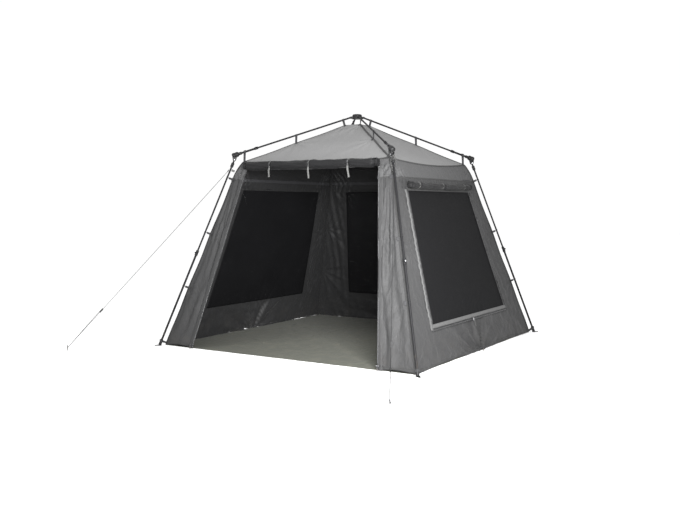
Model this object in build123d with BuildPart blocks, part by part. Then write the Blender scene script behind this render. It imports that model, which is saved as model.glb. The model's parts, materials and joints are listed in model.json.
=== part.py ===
"""Quick-erect shelter tent: a black folding pole frame standing outside a square canopy.

The frame is a hub with four roof poles, four elbows and four telescopic legs. The canopy is four
roof panels, four walls, three mesh windows, a rolled door and three rolled window covers, over a
separate ground sheet. X is width, the doorway faces -Y, Z is up, and the ground is Z = 0.
"""

import os
from math import atan2, cos, degrees, hypot, radians, sin

from build123d import *

os.makedirs("parts", exist_ok=True)

# ---- driving dimensions, in mm ----
FOOT_HALF = 1340.0  # half the square that the feet stand on
ELBOW_HALF = 839.0  # half the square that the elbow pins make
ELBOW_Z = 1729.0  # height of the elbow pins
HUB_PIVOT_R = 64.0  # from the hub's centre to its hinge pins
HUB_PIVOT_Z = 2150.0
ELBOW_DROP = 40.0  # from the roof pole's axis to the elbow pin

TUBE_R = 8.0  # thinner tubes: inner roof pole, upper leg
SLEEVE_R = 9.6  # thicker tubes: outer roof pole, lower leg
TUBE_WALL = 1.2
SLIDE_FIT = 0.05  # radial, between telescoping tubes

ROOF_JOINT = 0.80  # share of the roof pole where the thicker tube begins
LEG_JOINT = 0.50  # share of the leg where the thicker tube begins
LEG_OVERLAP = 200.0
HOOK_SHARES = (0.095, 0.39, 0.68)  # places of the three hooks along a leg

APEX_HALF, APEX_Z = 80.0, 2078.0
EAVE_HALF, EAVE_Z = 780.0, 1700.0
BAND = ((816.0, 1662.0), (838.0, 1612.0))  # the curved shoulder under the eave
WALL_TOP_HALF, WALL_TOP_Z = 854.0, 1542.0
WALL_FOOT_HALF, WALL_FOOT_Z = 1301.0, 20.0
CLOTH = 1.2
MESH = 0.8
SEAM = 1.0  # gap that a sewn seam takes between two panels

WINDOW_TOP = (650.0, 1440.0)
WINDOW_FOOT = (815.0, 312.0)
DOOR_TOP = (700.0, 1650.0)
DOOR_FOOT = (968.0, 0.0)

ZIP_Z = 281.0  # height of the zip under each window
ROLL_R, ROLL_HALF, ROLL_Z = 34.0, 715.0, 1672.0
COVER_R, COVER_HALF, COVER_Z = 27.0, 655.0, 1478.0
SHEET_HALF, SHEET_T = 1285.0, 2.0

GUY_R = 1.6
GUY_TIE = 112.0  # along the leg, from the elbow pin
GUY_PEGS = {"front_left": (-1846.0, -1978.0), "front_right": (1613.0, -2292.0)}
PEG_R, PEG_H = 3.2, 44.0

CORNERS = {"front_left": -135.0, "front_right": -45.0, "back_right": 45.0, "back_left": 135.0}

WALL_LEAN = degrees(atan2(WALL_FOOT_HALF - WALL_TOP_HALF, WALL_TOP_Z - WALL_FOOT_Z))

# ---- derived lines, as (radius, height) in each corner's upright plane ----
ELBOW = Vector(ELBOW_HALF * 2**0.5, ELBOW_Z)
FOOT = Vector(FOOT_HALF * 2**0.5, 0)
LEG_LENGTH = (FOOT - ELBOW).length
LEG_DIR = (FOOT - ELBOW).normalized()
LEG_OUT = Vector(-LEG_DIR.Y, LEG_DIR.X)  # square to the leg, away from the canopy
PITCH = radians(18.0)
for _ in range(20):
    ROOF_END = ELBOW + Vector(sin(PITCH), cos(PITCH)) * ELBOW_DROP
    PITCH = atan2(HUB_PIVOT_Z - ROOF_END.Y, ROOF_END.X - HUB_PIVOT_R)
HUB_PIVOT = Vector(HUB_PIVOT_R, HUB_PIVOT_Z)
ROOF_DIR = (ROOF_END - HUB_PIVOT).normalized()
ROOF_UP = Vector(-ROOF_DIR.Y, ROOF_DIR.X)
ROOF_LENGTH = (ROOF_END - HUB_PIVOT).length


def radial(name):
    """The corner's outward direction."""
    return Vector(cos(radians(CORNERS[name])), sin(radians(CORNERS[name])), 0)


def upright(name):
    """The corner's upright plane: x is outward, y is up."""
    d = radial(name)
    return Plane(origin=(0, 0, 0), x_dir=d, z_dir=d.cross(Vector(0, 0, 1)))


def place(name, point):
    """A point of the corner's upright plane, in space."""
    return radial(name) * point.X + Vector(0, 0, point.Y)


def square_to(name, point, direction):
    """A plane square to a direction of the corner's upright plane."""
    z = (radial(name) * direction.X + Vector(0, 0, direction.Y)).normalized()
    side = radial(name).cross(Vector(0, 0, 1))
    return Plane(origin=place(name, point), x_dir=side, z_dir=z)


def on_leg(along, out=0.0):
    return ELBOW + LEG_DIR * along + LEG_OUT * out


def on_roof(along, up=0.0):
    return HUB_PIVOT + ROOF_DIR * along + ROOF_UP * up


def skin(points, thickness):
    """A closed outline: the points, then the same points moved inward by the thickness."""
    inner = []
    for i, (x, y) in enumerate(points):
        ends = points[max(i - 1, 0)], points[min(i + 1, len(points) - 1)]
        dx, dy = ends[1][0] - ends[0][0], ends[1][1] - ends[0][1]
        size = hypot(dx, dy)
        inner.append((x + dy / size * thickness, y - dx / size * thickness))
    return list(points) + inner[::-1]


def facing(turn):
    """The plane whose x is outward from one side of the tent and whose y is up."""
    d = Vector(cos(radians(turn)), sin(radians(turn)), 0)
    return Plane(origin=(0, 0, 0), x_dir=d, z_dir=d.cross(Vector(0, 0, 1)))


def looking(turn):
    """The upright plane across one side: x runs along the side, y is up, z points outward."""
    d = Vector(cos(radians(turn)), sin(radians(turn)), 0)
    return Plane(origin=(0, 0, 0), x_dir=Vector(0, 0, 1).cross(d), z_dir=d)


def quarter(turn):
    """A ground plane turned so that its x points out of one side."""
    return Plane(origin=(0, 0, 0), x_dir=(cos(radians(turn)), sin(radians(turn)), 0), z_dir=(0, 0, 1))


def save(part, name):
    part.label = name
    export_step(part, f"parts/{name}.step")


SIDES = {"front": -90.0, "right": 0.0, "back": 90.0, "left": 180.0}
REACH = 1500.0
WEDGE = [(SEAM, 0), (REACH + SEAM, REACH), (REACH + SEAM, -REACH)]


def wall_half(z):
    """How far out the flat part of a wall is at one height."""
    share = (WALL_TOP_Z - z) / (WALL_TOP_Z - WALL_FOOT_Z)
    return WALL_TOP_HALF + (WALL_FOOT_HALF - WALL_TOP_HALF) * share


# ---- hub ----
CHEEK_IN, CHEEK_OUT = 9.0, 13.5
with BuildPart() as hub_base:
    with BuildSketch(Plane.XY.offset(HUB_PIVOT_Z - 14)):
        Circle(46)
    extrude(amount=26)
    for name in CORNERS:
        with BuildSketch(upright(name)):
            with Locations((HUB_PIVOT_R, HUB_PIVOT_Z)):
                Circle(10)
            with Locations((38, HUB_PIVOT_Z - 2)):
                Circle(11)
            make_hull()
        extrude(amount=CHEEK_OUT, both=True)
    for name in CORNERS:
        with BuildSketch(upright(name)):
            with Locations((HUB_PIVOT_R + 12, HUB_PIVOT_Z)):
                Rectangle(56, 60)
        extrude(amount=CHEEK_IN, both=True, mode=Mode.SUBTRACT)
    for name in CORNERS:
        with BuildSketch(upright(name)):
            with Locations((HUB_PIVOT_R, HUB_PIVOT_Z)):
                Circle(3)
        extrude(amount=CHEEK_OUT + 1.5, both=True)
save(hub_base.part, "hub_base")

with BuildPart() as hub_cap:
    with BuildSketch(Plane.XY.offset(HUB_PIVOT_Z + 12.4)):
        Circle(47)
    extrude(amount=20)
    fillet(hub_cap.faces().sort_by(Axis.Z)[-1].edges(), 17)
save(hub_cap.part, "hub_cap")

# ---- roof poles and elbows ----
ROOF_SPLIT = ROOF_LENGTH * ROOF_JOINT
for name in CORNERS:
    with BuildPart() as roof_inner:
        with BuildSketch(square_to(name, on_roof(4), ROOF_DIR)):
            Circle(TUBE_R)
        extrude(amount=ROOF_SPLIT + 60)
        with BuildSketch(square_to(name, on_roof(26), ROOF_DIR)):
            Circle(TUBE_R - TUBE_WALL)
        extrude(amount=ROOF_SPLIT + 60, mode=Mode.SUBTRACT)
        with BuildSketch(upright(name)):
            with Locations((HUB_PIVOT_R, HUB_PIVOT_Z)):
                Circle(8.5)
        extrude(amount=TUBE_R, both=True)
        with BuildSketch(upright(name)):
            with Locations((HUB_PIVOT_R, HUB_PIVOT_Z)):
                Circle(3.06)
        extrude(amount=TUBE_R + 4, both=True, mode=Mode.SUBTRACT)
    save(roof_inner.part, f"roof_pole_inner_{name}")

    with BuildPart() as roof_outer:
        with BuildSketch(square_to(name, on_roof(ROOF_SPLIT), ROOF_DIR)):
            Circle(SLEEVE_R)
        extrude(amount=ROOF_LENGTH - ROOF_SPLIT - 12)
        with BuildSketch(square_to(name, on_roof(ROOF_SPLIT - 8), ROOF_DIR)):
            Circle(12.5)
        extrude(amount=34)
        with BuildSketch(square_to(name, on_roof(ROOF_SPLIT + 9), ROOF_UP)):
            Circle(5)
        extrude(amount=14.5)
        with BuildSketch(square_to(name, on_roof(ROOF_SPLIT - 20), ROOF_DIR)):
            Circle(TUBE_R + SLIDE_FIT)
        extrude(amount=ROOF_LENGTH, mode=Mode.SUBTRACT)
    save(roof_outer.part, f"roof_pole_outer_{name}")

    with BuildPart() as elbow:
        with BuildSketch(square_to(name, on_roof(ROOF_LENGTH - 86), ROOF_DIR)):
            Circle(13.5)
        extrude(amount=92)
        with BuildSketch(upright(name)):
            with Locations((ELBOW.X, ELBOW.Y)):
                Circle(14)
            with Locations((on_roof(ROOF_LENGTH - 34).X, on_roof(ROOF_LENGTH - 34).Y)):
                Circle(13)
            with Locations((on_roof(ROOF_LENGTH - 6).X, on_roof(ROOF_LENGTH - 6).Y)):
                Circle(12)
            make_hull()
        extrude(amount=14, both=True)
        with BuildSketch(upright(name)):
            with Locations((ELBOW.X, ELBOW.Y)):
                Circle(27.5)
        extrude(amount=10, both=True, mode=Mode.SUBTRACT)
        with BuildSketch(square_to(name, on_roof(ROOF_LENGTH - 90), ROOF_DIR)):
            Circle(SLEEVE_R + SLIDE_FIT)
        extrude(amount=80, mode=Mode.SUBTRACT)
        with BuildSketch(upright(name)):
            with Locations((ELBOW.X, ELBOW.Y)):
                Circle(4)
        extrude(amount=16, both=True)
    save(elbow.part, f"elbow_bracket_{name}")

# ---- legs ----
LEG_SPLIT = LEG_LENGTH * LEG_JOINT
BUTTON_ALONG = LEG_SPLIT + 6
for name in CORNERS:
    with BuildPart() as leg_upper:
        with BuildSketch(square_to(name, on_leg(4), LEG_DIR)):
            Circle(TUBE_R)
        extrude(amount=LEG_SPLIT + LEG_OVERLAP)
        with BuildSketch(square_to(name, on_leg(36), LEG_DIR)):
            Circle(TUBE_R - TUBE_WALL)
        extrude(amount=LEG_SPLIT + LEG_OVERLAP, mode=Mode.SUBTRACT)
        with BuildSketch(upright(name)):
            with Locations((ELBOW.X, ELBOW.Y)):
                Circle(11)
        extrude(amount=9.5, both=True)
        with BuildSketch(upright(name)):
            with Locations((ELBOW.X, ELBOW.Y)):
                Circle(4.06)
        extrude(amount=12, both=True, mode=Mode.SUBTRACT)
    save(leg_upper.part, f"leg_upper_{name}")

    with BuildPart() as leg_lower:
        with BuildSketch(square_to(name, on_leg(LEG_SPLIT), LEG_DIR)):
            Circle(SLEEVE_R)
        extrude(amount=LEG_LENGTH - LEG_SPLIT - 24)
        with BuildSketch(square_to(name, on_leg(LEG_SPLIT - 20), LEG_DIR)):
            Circle(13.5)
        extrude(amount=52)
        with BuildSketch(square_to(name, on_leg(BUTTON_ALONG), LEG_OUT)):
            Circle(8)
        extrude(amount=20)
        with BuildSketch(square_to(name, on_leg(BUTTON_ALONG, 10.4), LEG_OUT)):
            Circle(5.05)
        extrude(amount=20, mode=Mode.SUBTRACT)
        with BuildSketch(square_to(name, on_leg(LEG_SPLIT - 30), LEG_DIR)):
            Circle(TUBE_R + SLIDE_FIT)
        extrude(amount=LEG_LENGTH, mode=Mode.SUBTRACT)
    save(leg_lower.part, f"leg_lower_{name}")

    with BuildPart() as leg_button:
        press = square_to(name, on_leg(BUTTON_ALONG, 14.0), LEG_OUT)
        with BuildSketch(press):
            Circle(5.0)
        extrude(amount=10)
        fillet(leg_button.faces().sort_by(Axis(press.origin, press.z_dir))[-1].edges(), 1.2)
    save(leg_button.part, f"leg_button_{name}")

    with BuildPart() as foot:
        with BuildSketch(square_to(name, on_leg(LEG_LENGTH - 62), LEG_DIR)):
            Circle(14)
        extrude(amount=55)
        with BuildSketch(square_to(name, Vector(FOOT.X, 0), Vector(0, 1))):
            with Locations((0, 0)):
                Circle(20)
        extrude(amount=5)
        with BuildSketch(quarter(CORNERS[name])):
            with Locations((FOOT.X, 0)):
                Circle(20)
            with Locations((FOOT.X + 34, 0)):
                Circle(12)
            make_hull()
        extrude(amount=5)
        with BuildSketch(quarter(CORNERS[name])):
            with Locations((FOOT.X + 34, 0)):
                Circle(4.5)
        extrude(amount=5, mode=Mode.SUBTRACT)
        with BuildSketch(square_to(name, on_leg(LEG_LENGTH - 70), LEG_DIR)):
            Circle(SLEEVE_R + SLIDE_FIT)
        extrude(amount=48, mode=Mode.SUBTRACT)
    save(foot.part, f"foot_{name}")

    with BuildPart() as hooks:
        for share in HOOK_SHARES:
            bore = (TUBE_R if share < LEG_JOINT else SLEEVE_R) + 0.35
            along = LEG_LENGTH * share
            with BuildSketch(square_to(name, on_leg(along - 6), LEG_DIR)):
                Circle(bore + 2.6)
            extrude(amount=12)
            with BuildSketch(square_to(name, on_leg(along), LEG_OUT * -1)):
                Rectangle(3, 12)
            extrude(amount=49 - 2.5)
            with BuildSketch(square_to(name, on_leg(along - 8), LEG_DIR)):
                Circle(bore)
            extrude(amount=16, mode=Mode.SUBTRACT)
        if name in GUY_PEGS:
            with BuildSketch(square_to(name, on_leg(GUY_TIE - 5), LEG_DIR)):
                Circle(TUBE_R + 2.9)
            extrude(amount=10)
            with BuildSketch(square_to(name, on_leg(GUY_TIE - 7), LEG_DIR)):
                Circle(TUBE_R + 0.35)
            extrude(amount=14, mode=Mode.SUBTRACT)
    save(hooks.part, f"leg_hooks_{name}")

# ---- canopy ----
ROOF_LINE = [(0, APEX_Z), (APEX_HALF, APEX_Z), (EAVE_HALF, EAVE_Z)]
SHOULDER_LINE = [(EAVE_HALF + 1.2, EAVE_Z - 1.6), *BAND, (WALL_TOP_HALF, WALL_TOP_Z)]
WALL_LINE = [(wall_half(WALL_TOP_Z - SEAM), WALL_TOP_Z - SEAM), (WALL_FOOT_HALF, WALL_FOOT_Z)]
FLAT_LINE = [(wall_half(1500), 1500), (wall_half(250), 250)]
WINDOW = [(-WINDOW_TOP[0], WINDOW_TOP[1]), WINDOW_TOP, WINDOW_FOOT, (-WINDOW_FOOT[0], WINDOW_FOOT[1])]
DOOR = [(-DOOR_TOP[0], DOOR_TOP[1]), DOOR_TOP, DOOR_FOOT, (-DOOR_FOOT[0], DOOR_FOOT[1])]

for side, turn in SIDES.items():
    with BuildPart() as roof_panel:
        with BuildSketch(facing(turn)):
            Polygon(*skin(ROOF_LINE, CLOTH), align=None)
        extrude(amount=REACH, both=True)
        with BuildSketch(quarter(turn)):
            Polygon(*WEDGE, align=None)
        extrude(amount=3000, mode=Mode.INTERSECT)
    save(roof_panel.part, f"roof_panel_{side}")

    for label, line in (("wall", WALL_LINE), ("shoulder", SHOULDER_LINE)):
        with BuildPart() as cloth:
            with BuildSketch(facing(turn)):
                Polygon(*skin(line, CLOTH), align=None)
            extrude(amount=REACH, both=True)
            with BuildSketch(quarter(turn)):
                Polygon(*WEDGE, align=None)
            extrude(amount=3000, mode=Mode.INTERSECT)
            if side == "front" or label == "wall":
                with BuildSketch(looking(turn)):
                    Polygon(*(DOOR if side == "front" else WINDOW), align=None)
                extrude(amount=REACH, mode=Mode.SUBTRACT)
        save(cloth.part, f"{label}_{side}")

    if side == "front":
        continue
    with BuildPart() as mesh:
        with BuildSketch(facing(turn)):
            Polygon(*skin(FLAT_LINE, MESH), align=None)
        extrude(amount=REACH, both=True)
        with BuildSketch(looking(turn)):
            Polygon(*WINDOW, align=None)
            offset(amount=-SEAM, kind=Kind.INTERSECTION, mode=Mode.REPLACE)
        extrude(amount=REACH, mode=Mode.INTERSECT)
    save(mesh.part, f"window_mesh_{side}")

    with BuildPart() as cover:
        with BuildSketch(facing(turn)):
            with Locations((wall_half(COVER_Z) + COVER_R + 4, COVER_Z)):
                Circle(COVER_R)
        extrude(amount=COVER_HALF, both=True)
        chamfer(cover.edges().filter_by(GeomType.CIRCLE), 9)
    save(cover.part, f"window_cover_{side}")

    with BuildPart() as zip_slider:
        with BuildSketch(facing(turn)):
            with Locations((wall_half(ZIP_Z) + 6.5, ZIP_Z)):
                Rectangle(7, 26, rotation=WALL_LEAN)
        extrude(amount=6, both=True)
        with BuildSketch(facing(turn)):
            with Locations((wall_half(ZIP_Z - 40) + 8, ZIP_Z - 40)):
                Rectangle(3, 66, rotation=WALL_LEAN)
        extrude(amount=4.5, both=True)
    save(zip_slider.part, f"zip_slider_{side}")

with BuildPart() as door_roll:
    with BuildSketch(facing(SIDES["front"])):
        with Locations((812 + ROLL_R + 6, ROLL_Z)):
            Circle(ROLL_R)
    extrude(amount=ROLL_HALF, both=True)
    chamfer(door_roll.edges().filter_by(GeomType.CIRCLE), 12)
save(door_roll.part, "door_roll")

with BuildPart() as ground_sheet:
    with BuildSketch():
        Rectangle(2 * SHEET_HALF, 2 * SHEET_HALF)
    extrude(amount=SHEET_T)
save(ground_sheet.part, "ground_sheet")

# ---- pegs, guys and their runners ----
HEM_PEGS = [(-975, -1328), (975, -1328), (1328, 0), (0, 1328), (-1328, 0)]
for label, spots in (("hem_pegs", HEM_PEGS), ("guy_pegs", list(GUY_PEGS.values()))):
    with BuildPart() as pegs:
        for x, y in spots:
            away = atan2(y, x)
            with BuildSketch(Plane.XY):
                with Locations((x, y)):
                    Circle(PEG_R)
            extrude(amount=PEG_H)
            head = Plane(origin=(x, y, PEG_H), x_dir=(0, 0, 1), z_dir=(-sin(away), cos(away), 0))
            with BuildSketch(head):
                Circle(PEG_R)
            extrude(amount=13, both=True)
    save(pegs.part, label)

for name, (x, y) in GUY_PEGS.items():
    tie = place(name, on_leg(GUY_TIE, TUBE_R + 2.9 + GUY_R + 0.4))
    towards = Vector(x, y, 26)
    line = (towards - tie).normalized()
    end = towards - line * (PEG_R + GUY_R + 3)
    with BuildPart() as guy:
        with BuildSketch(Plane(origin=tie, z_dir=line)):
            Circle(GUY_R)
        extrude(amount=(end - tie).length)
    save(guy.part, f"guy_rope_{name}")
    with BuildPart() as runner:
        middle = tie + line * ((end - tie).length * 0.80)
        with BuildSketch(Plane(origin=middle - line * 22, z_dir=line)):
            Rectangle(9, 16)
        extrude(amount=44)
        fillet(runner.edges().filter_by(lambda e: abs((e @ 1 - e @ 0).normalized().dot(line)) > 0.99), 2)
        with BuildSketch(Plane(origin=middle - line * 30, z_dir=line)):
            Circle(GUY_R + 0.35)
        extrude(amount=60, mode=Mode.SUBTRACT)
    save(runner.part, f"guy_runner_{name}")
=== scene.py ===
"""Looks of a quick-erect shelter tent: cloth, webbing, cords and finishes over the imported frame."""

import json
import logging
import math
from dataclasses import dataclass, field
from enum import Enum
from typing import Callable, Iterable, Optional, Sequence, Union

import bpy
import numpy as np
from mathutils import Matrix, Vector


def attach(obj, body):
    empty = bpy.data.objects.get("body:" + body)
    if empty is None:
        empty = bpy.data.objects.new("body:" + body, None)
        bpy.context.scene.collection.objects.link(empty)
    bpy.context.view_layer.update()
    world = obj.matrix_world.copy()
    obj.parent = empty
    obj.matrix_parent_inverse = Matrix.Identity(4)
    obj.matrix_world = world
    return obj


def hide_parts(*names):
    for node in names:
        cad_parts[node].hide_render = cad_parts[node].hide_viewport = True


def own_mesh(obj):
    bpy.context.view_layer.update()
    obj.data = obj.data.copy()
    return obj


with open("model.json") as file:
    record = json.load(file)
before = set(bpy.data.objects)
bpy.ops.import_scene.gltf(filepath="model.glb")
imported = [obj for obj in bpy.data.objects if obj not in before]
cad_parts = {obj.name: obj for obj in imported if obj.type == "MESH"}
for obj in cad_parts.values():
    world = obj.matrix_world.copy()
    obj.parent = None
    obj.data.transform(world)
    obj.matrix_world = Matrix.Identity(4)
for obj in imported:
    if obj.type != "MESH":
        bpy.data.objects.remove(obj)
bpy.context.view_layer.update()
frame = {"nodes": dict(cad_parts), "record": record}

LOG = logging.getLogger("tent")
Number = Union[int, float]
Value = Union["Signal", int, float]
Array = np.ndarray
UP = np.array((0.0, 0.0, 1.0))


# ------------------------------------------------------------------ shader writing


class Signal:
    """A shader socket that can be used in ordinary arithmetic."""

    def __init__(self, bench: "Bench", socket: bpy.types.NodeSocket) -> None:
        """Keep the socket and the bench that adds its nodes.

        Args:
            bench: the material being built.
            socket: the output socket.
        """
        self.bench = bench
        self.socket = socket

    def _join(self, operation: str, *values: Value) -> "Signal":
        """Add one Math node.

        Args:
            operation: the Math node's operation.
            values: its inputs, in order.

        Returns:
            The node's output.
        """
        return self.bench.add("ShaderNodeMath", {"operation": operation}, dict(enumerate(values)))[0]

    def __add__(self, other: Value) -> "Signal":
        """Sum."""
        return self._join("ADD", self, other)

    __radd__ = __add__

    def __sub__(self, other: Value) -> "Signal":
        """Difference."""
        return self._join("SUBTRACT", self, other)

    def __rsub__(self, other: Value) -> "Signal":
        """Difference from a number."""
        return self._join("SUBTRACT", other, self)

    def __mul__(self, other: Value) -> "Signal":
        """Product."""
        return self._join("MULTIPLY", self, other)

    __rmul__ = __mul__

    def __truediv__(self, other: Value) -> "Signal":
        """Quotient."""
        return self._join("DIVIDE", self, other)

    def __pow__(self, other: Value) -> "Signal":
        """Power."""
        return self._join("POWER", self, other)

    def __lt__(self, other: Value) -> "Signal":
        """One where this is below the other, else zero."""
        return self._join("LESS_THAN", self, other)

    def sine(self) -> "Signal":
        """Sine, in radians."""
        return self._join("SINE", self)

    def size(self) -> "Signal":
        """Absolute value."""
        return self._join("ABSOLUTE", self)

    def fraction(self) -> "Signal":
        """The part after the decimal point."""
        return self._join("FRACT", self)

    def most(self, other: Value) -> "Signal":
        """The larger of the two."""
        return self._join("MAXIMUM", self, other)

    def rise(self, low: Number, high: Number) -> "Signal":
        """A smooth step.

        Args:
            low: where it starts to rise from zero.
            high: where it reaches one.

        Returns:
            The stepped value.
        """
        settings = {"interpolation_type": "SMOOTHSTEP"}
        return self.bench.add("ShaderNodeMapRange", settings, {0: self, 1: low, 2: high})[0]


class Bench:
    """Builds one material's nodes."""

    def __init__(self, name: str) -> None:
        """Start an empty material.

        Args:
            name: the material's name.
        """
        self.material = bpy.data.materials.new(f"{name}_finish")
        self.material.use_nodes = True
        self.tree = self.material.node_tree
        self.tree.nodes.clear()
        self.surface = self.tree.nodes.new("ShaderNodeBsdfPrincipled")
        output = self.tree.nodes.new("ShaderNodeOutputMaterial")
        self.tree.links.new(self.surface.outputs[0], output.inputs[0])

    def add(self, kind: str, settings: dict, inputs: dict) -> list[Signal]:
        """Add a node.

        Args:
            kind: the node's type.
            settings: its properties.
            inputs: values or signals, by socket name or number.

        Returns:
            Its outputs.
        """
        node = self.tree.nodes.new(kind)
        for key, value in settings.items():
            setattr(node, key, value)
        for key, value in inputs.items():
            if isinstance(value, Signal):
                self.tree.links.new(value.socket, node.inputs[key])
            else:
                node.inputs[key].default_value = value
        return [Signal(self, socket) for socket in node.outputs]

    def split(self, vector: Signal) -> list[Signal]:
        """A vector's three parts."""
        return self.add("ShaderNodeSeparateXYZ", {}, {0: vector})

    def height(self, point: Signal) -> Signal:
        """A point's height in metres."""
        return self.split(point)[2]

    def cloth_lay(self) -> tuple[Signal, Signal]:
        """The flat cloth's coordinates in metres: across, and along."""
        across, along, _ = self.split(self.add("ShaderNodeUVMap", {"uv_map": "lay"}, {})[0])
        return across, along

    def place(self) -> Signal:
        """The point in the object's own frame, in metres."""
        return self.add("ShaderNodeTexCoord", {}, {})[3]

    def scaled(self, vector: Signal, by: Sequence[float]) -> Signal:
        """A vector times a vector."""
        return self.add("ShaderNodeVectorMath", {"operation": "MULTIPLY"}, {0: vector, 1: by})[0]

    def joined(self, across: Signal, along: Signal) -> Signal:
        """A vector from two parts."""
        return self.add("ShaderNodeCombineXYZ", {}, {0: across, 1: along})[0]

    def cloud(self, at: Signal, scale: float, detail: float = 3.0, rough: float = 0.5) -> Signal:
        """Soft noise from zero to one.

        Args:
            at: the point.
            scale: blotches in one metre.
            detail: octaves.
            rough: weight of the finer octaves.

        Returns:
            The noise.
        """
        settings = {"noise_dimensions": "3D"}
        values = {"Vector": at, "Scale": scale, "Detail": detail, "Roughness": rough}
        return self.add("ShaderNodeTexNoise", settings, values)[0]

    def blend(self, share: Value, first: object, second: object) -> Signal:
        """Mix two colours.

        Args:
            share: how much of the second.
            first: a colour or a signal.
            second: a colour or a signal.

        Returns:
            The mixed colour.
        """
        settings = {"data_type": "RGBA", "clamp_factor": True}
        return self.add("ShaderNodeMix", settings, {0: share, 6: rgba(first), 7: rgba(second)})[2]

    def shade(self, colour: object, by: Signal) -> Signal:
        """A colour made lighter or darker.

        Args:
            colour: a colour or a signal.
            by: the factor.

        Returns:
            The shaded colour.
        """
        grey = self.add("ShaderNodeCombineXYZ", {}, {0: by, 1: by, 2: by})[0]
        values = {0: colour if isinstance(colour, Signal) else tuple(colour), 1: grey}
        return self.add("ShaderNodeVectorMath", {"operation": "MULTIPLY"}, values)[0]

    def raise_by(self, height: Signal, metres: float, strength: float) -> Signal:
        """Turn a height into a normal.

        Args:
            height: from zero to one.
            metres: the height of one.
            strength: how much of it shows.

        Returns:
            The normal.
        """
        return self.add("ShaderNodeBump", {}, {"Strength": strength, "Distance": metres, "Height": height})[0]

    def wire(self, **sockets: object) -> bpy.types.Material:
        """Set the surface's sockets.

        Args:
            sockets: values or signals, by socket name with _ for a space.

        Returns:
            The material.
        """
        for key, value in sockets.items():
            target = self.surface.inputs[key.replace("_", " ")]
            if isinstance(value, Signal):
                self.tree.links.new(value.socket, target)
            else:
                target.default_value = rgba(value) if key.endswith(("Color", "Tint")) else value
        return self.material


def rgba(colour: object) -> object:
    """A colour with its alpha, or the signal unchanged."""
    return colour if isinstance(colour, Signal) else (*tuple(colour)[:3], 1.0)


# ------------------------------------------------------------------ finishes


@dataclass(frozen=True)
class Coat:
    """What every finish has.

    Attributes:
        name: the material's name.
        colour: linear base colour.
    """

    name: str
    colour: tuple[float, float, float]


@dataclass(frozen=True)
class TentCloth(Coat):
    """Coated polyester with a fine square weave, fold marks and dust.

    Attributes:
        weave: pitch of the yarns in metres.
        grid: pitch of the stronger yarns in metres, or zero for none.
        rough: roughness.
        grime: how much dust gathers near the ground.
        creases: depth of the fold marks in metres.
        crown: how much lighter the cloth is above the upper seam, where it is the roof's cloth.
    """

    weave: float = 0.0011
    grid: float = 0.0
    rough: float = 0.62
    grime: float = 0.06
    creases: float = 0.004
    crown: float = 1.0

    def make(self) -> bpy.types.Material:
        """Build the material."""
        bench = Bench(self.name)
        across, along = bench.cloth_lay()
        lay = bench.joined(across, along)
        point = bench.place()
        warp = (across * (math.tau / self.weave)).sine()
        weft = (along * (math.tau / self.weave)).sine()
        yarns = warp * weft * 0.5 + 0.5
        broad = bench.cloud(point, 1.7, 3.0, 0.55)
        fine = bench.cloud(point, 26.0, 4.0, 0.6)
        crumple = bench.cloud(bench.scaled(lay, (1.0, 0.45, 1.0)), 7.5, 5.0, 0.62)
        ridge = 1.0 - (crumple * 2.0 - 1.0).size()
        slubs = bench.cloud(bench.scaled(lay, (14.0, 420.0, 1.0)), 1.0, 2.0, 0.5)
        height = yarns * 0.006 + ridge ** 3.0
        tone = broad * 0.16 + fine * 0.07 + slubs * 0.05 + yarns * 0.05 + 0.835
        if self.grid:
            bars = ((across / self.grid).fraction() < 0.12).most((along / self.grid).fraction() < 0.12)
            height = height + bars * 0.012
            tone = tone - bars * 0.05
        up = bench.height(point)
        if self.crown != 1.0:
            tone = tone * (up.rise(1.538, 1.546) * (self.crown - 1.0) + 1.0)
        low = (1.0 - up.rise(0.0, 0.32)) * bench.cloud(point, 9.0, 5.0, 0.7).rise(0.42, 0.75)
        dust = tuple(0.6 * c + 0.4 * d for c, d in zip(self.colour, (0.33, 0.28, 0.21)))
        colour = bench.blend(low * self.grime, bench.shade(self.colour, tone), dust)
        normal = bench.raise_by(height, self.creases, 0.8)
        rough = fine * 0.16 + low * 0.12 + (self.rough - 0.08)
        return bench.wire(Base_Color=colour, Roughness=rough, Normal=normal, Sheen_Weight=0.03,
                          Sheen_Roughness=0.45, Specular_IOR_Level=0.16)


@dataclass(frozen=True)
class NetCloth(Coat):
    """Black mosquito net: fine yarns with square holes between them.

    Attributes:
        pitch: from yarn to yarn in metres.
        yarn: share of the pitch that is yarn.
    """

    pitch: float = 0.0018
    yarn: float = 0.84

    def make(self) -> bpy.types.Material:
        """Build the material."""
        bench = Bench(self.name)
        across, along = bench.cloth_lay()
        upright = (across / self.pitch).fraction() < self.yarn
        level = (along / self.pitch).fraction() < self.yarn
        solid = upright.most(level)
        point = bench.place()
        haze = bench.cloud(point, 3.0, 4.0, 0.6)
        lint = bench.cloud(point, 60.0, 3.0, 0.6).rise(0.62, 0.8)
        colour = bench.blend(lint * 0.25, bench.shade(self.colour, haze * 0.5 + 0.75), (0.10, 0.10, 0.10))
        rounded = ((across / self.pitch).fraction() * math.pi / self.yarn).sine()
        normal = bench.raise_by(rounded * upright, 0.0004, 0.5)
        return bench.wire(Base_Color=colour, Alpha=solid, Roughness=haze * 0.2 + 0.55, Normal=normal,
                          Specular_IOR_Level=0.06)


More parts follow.
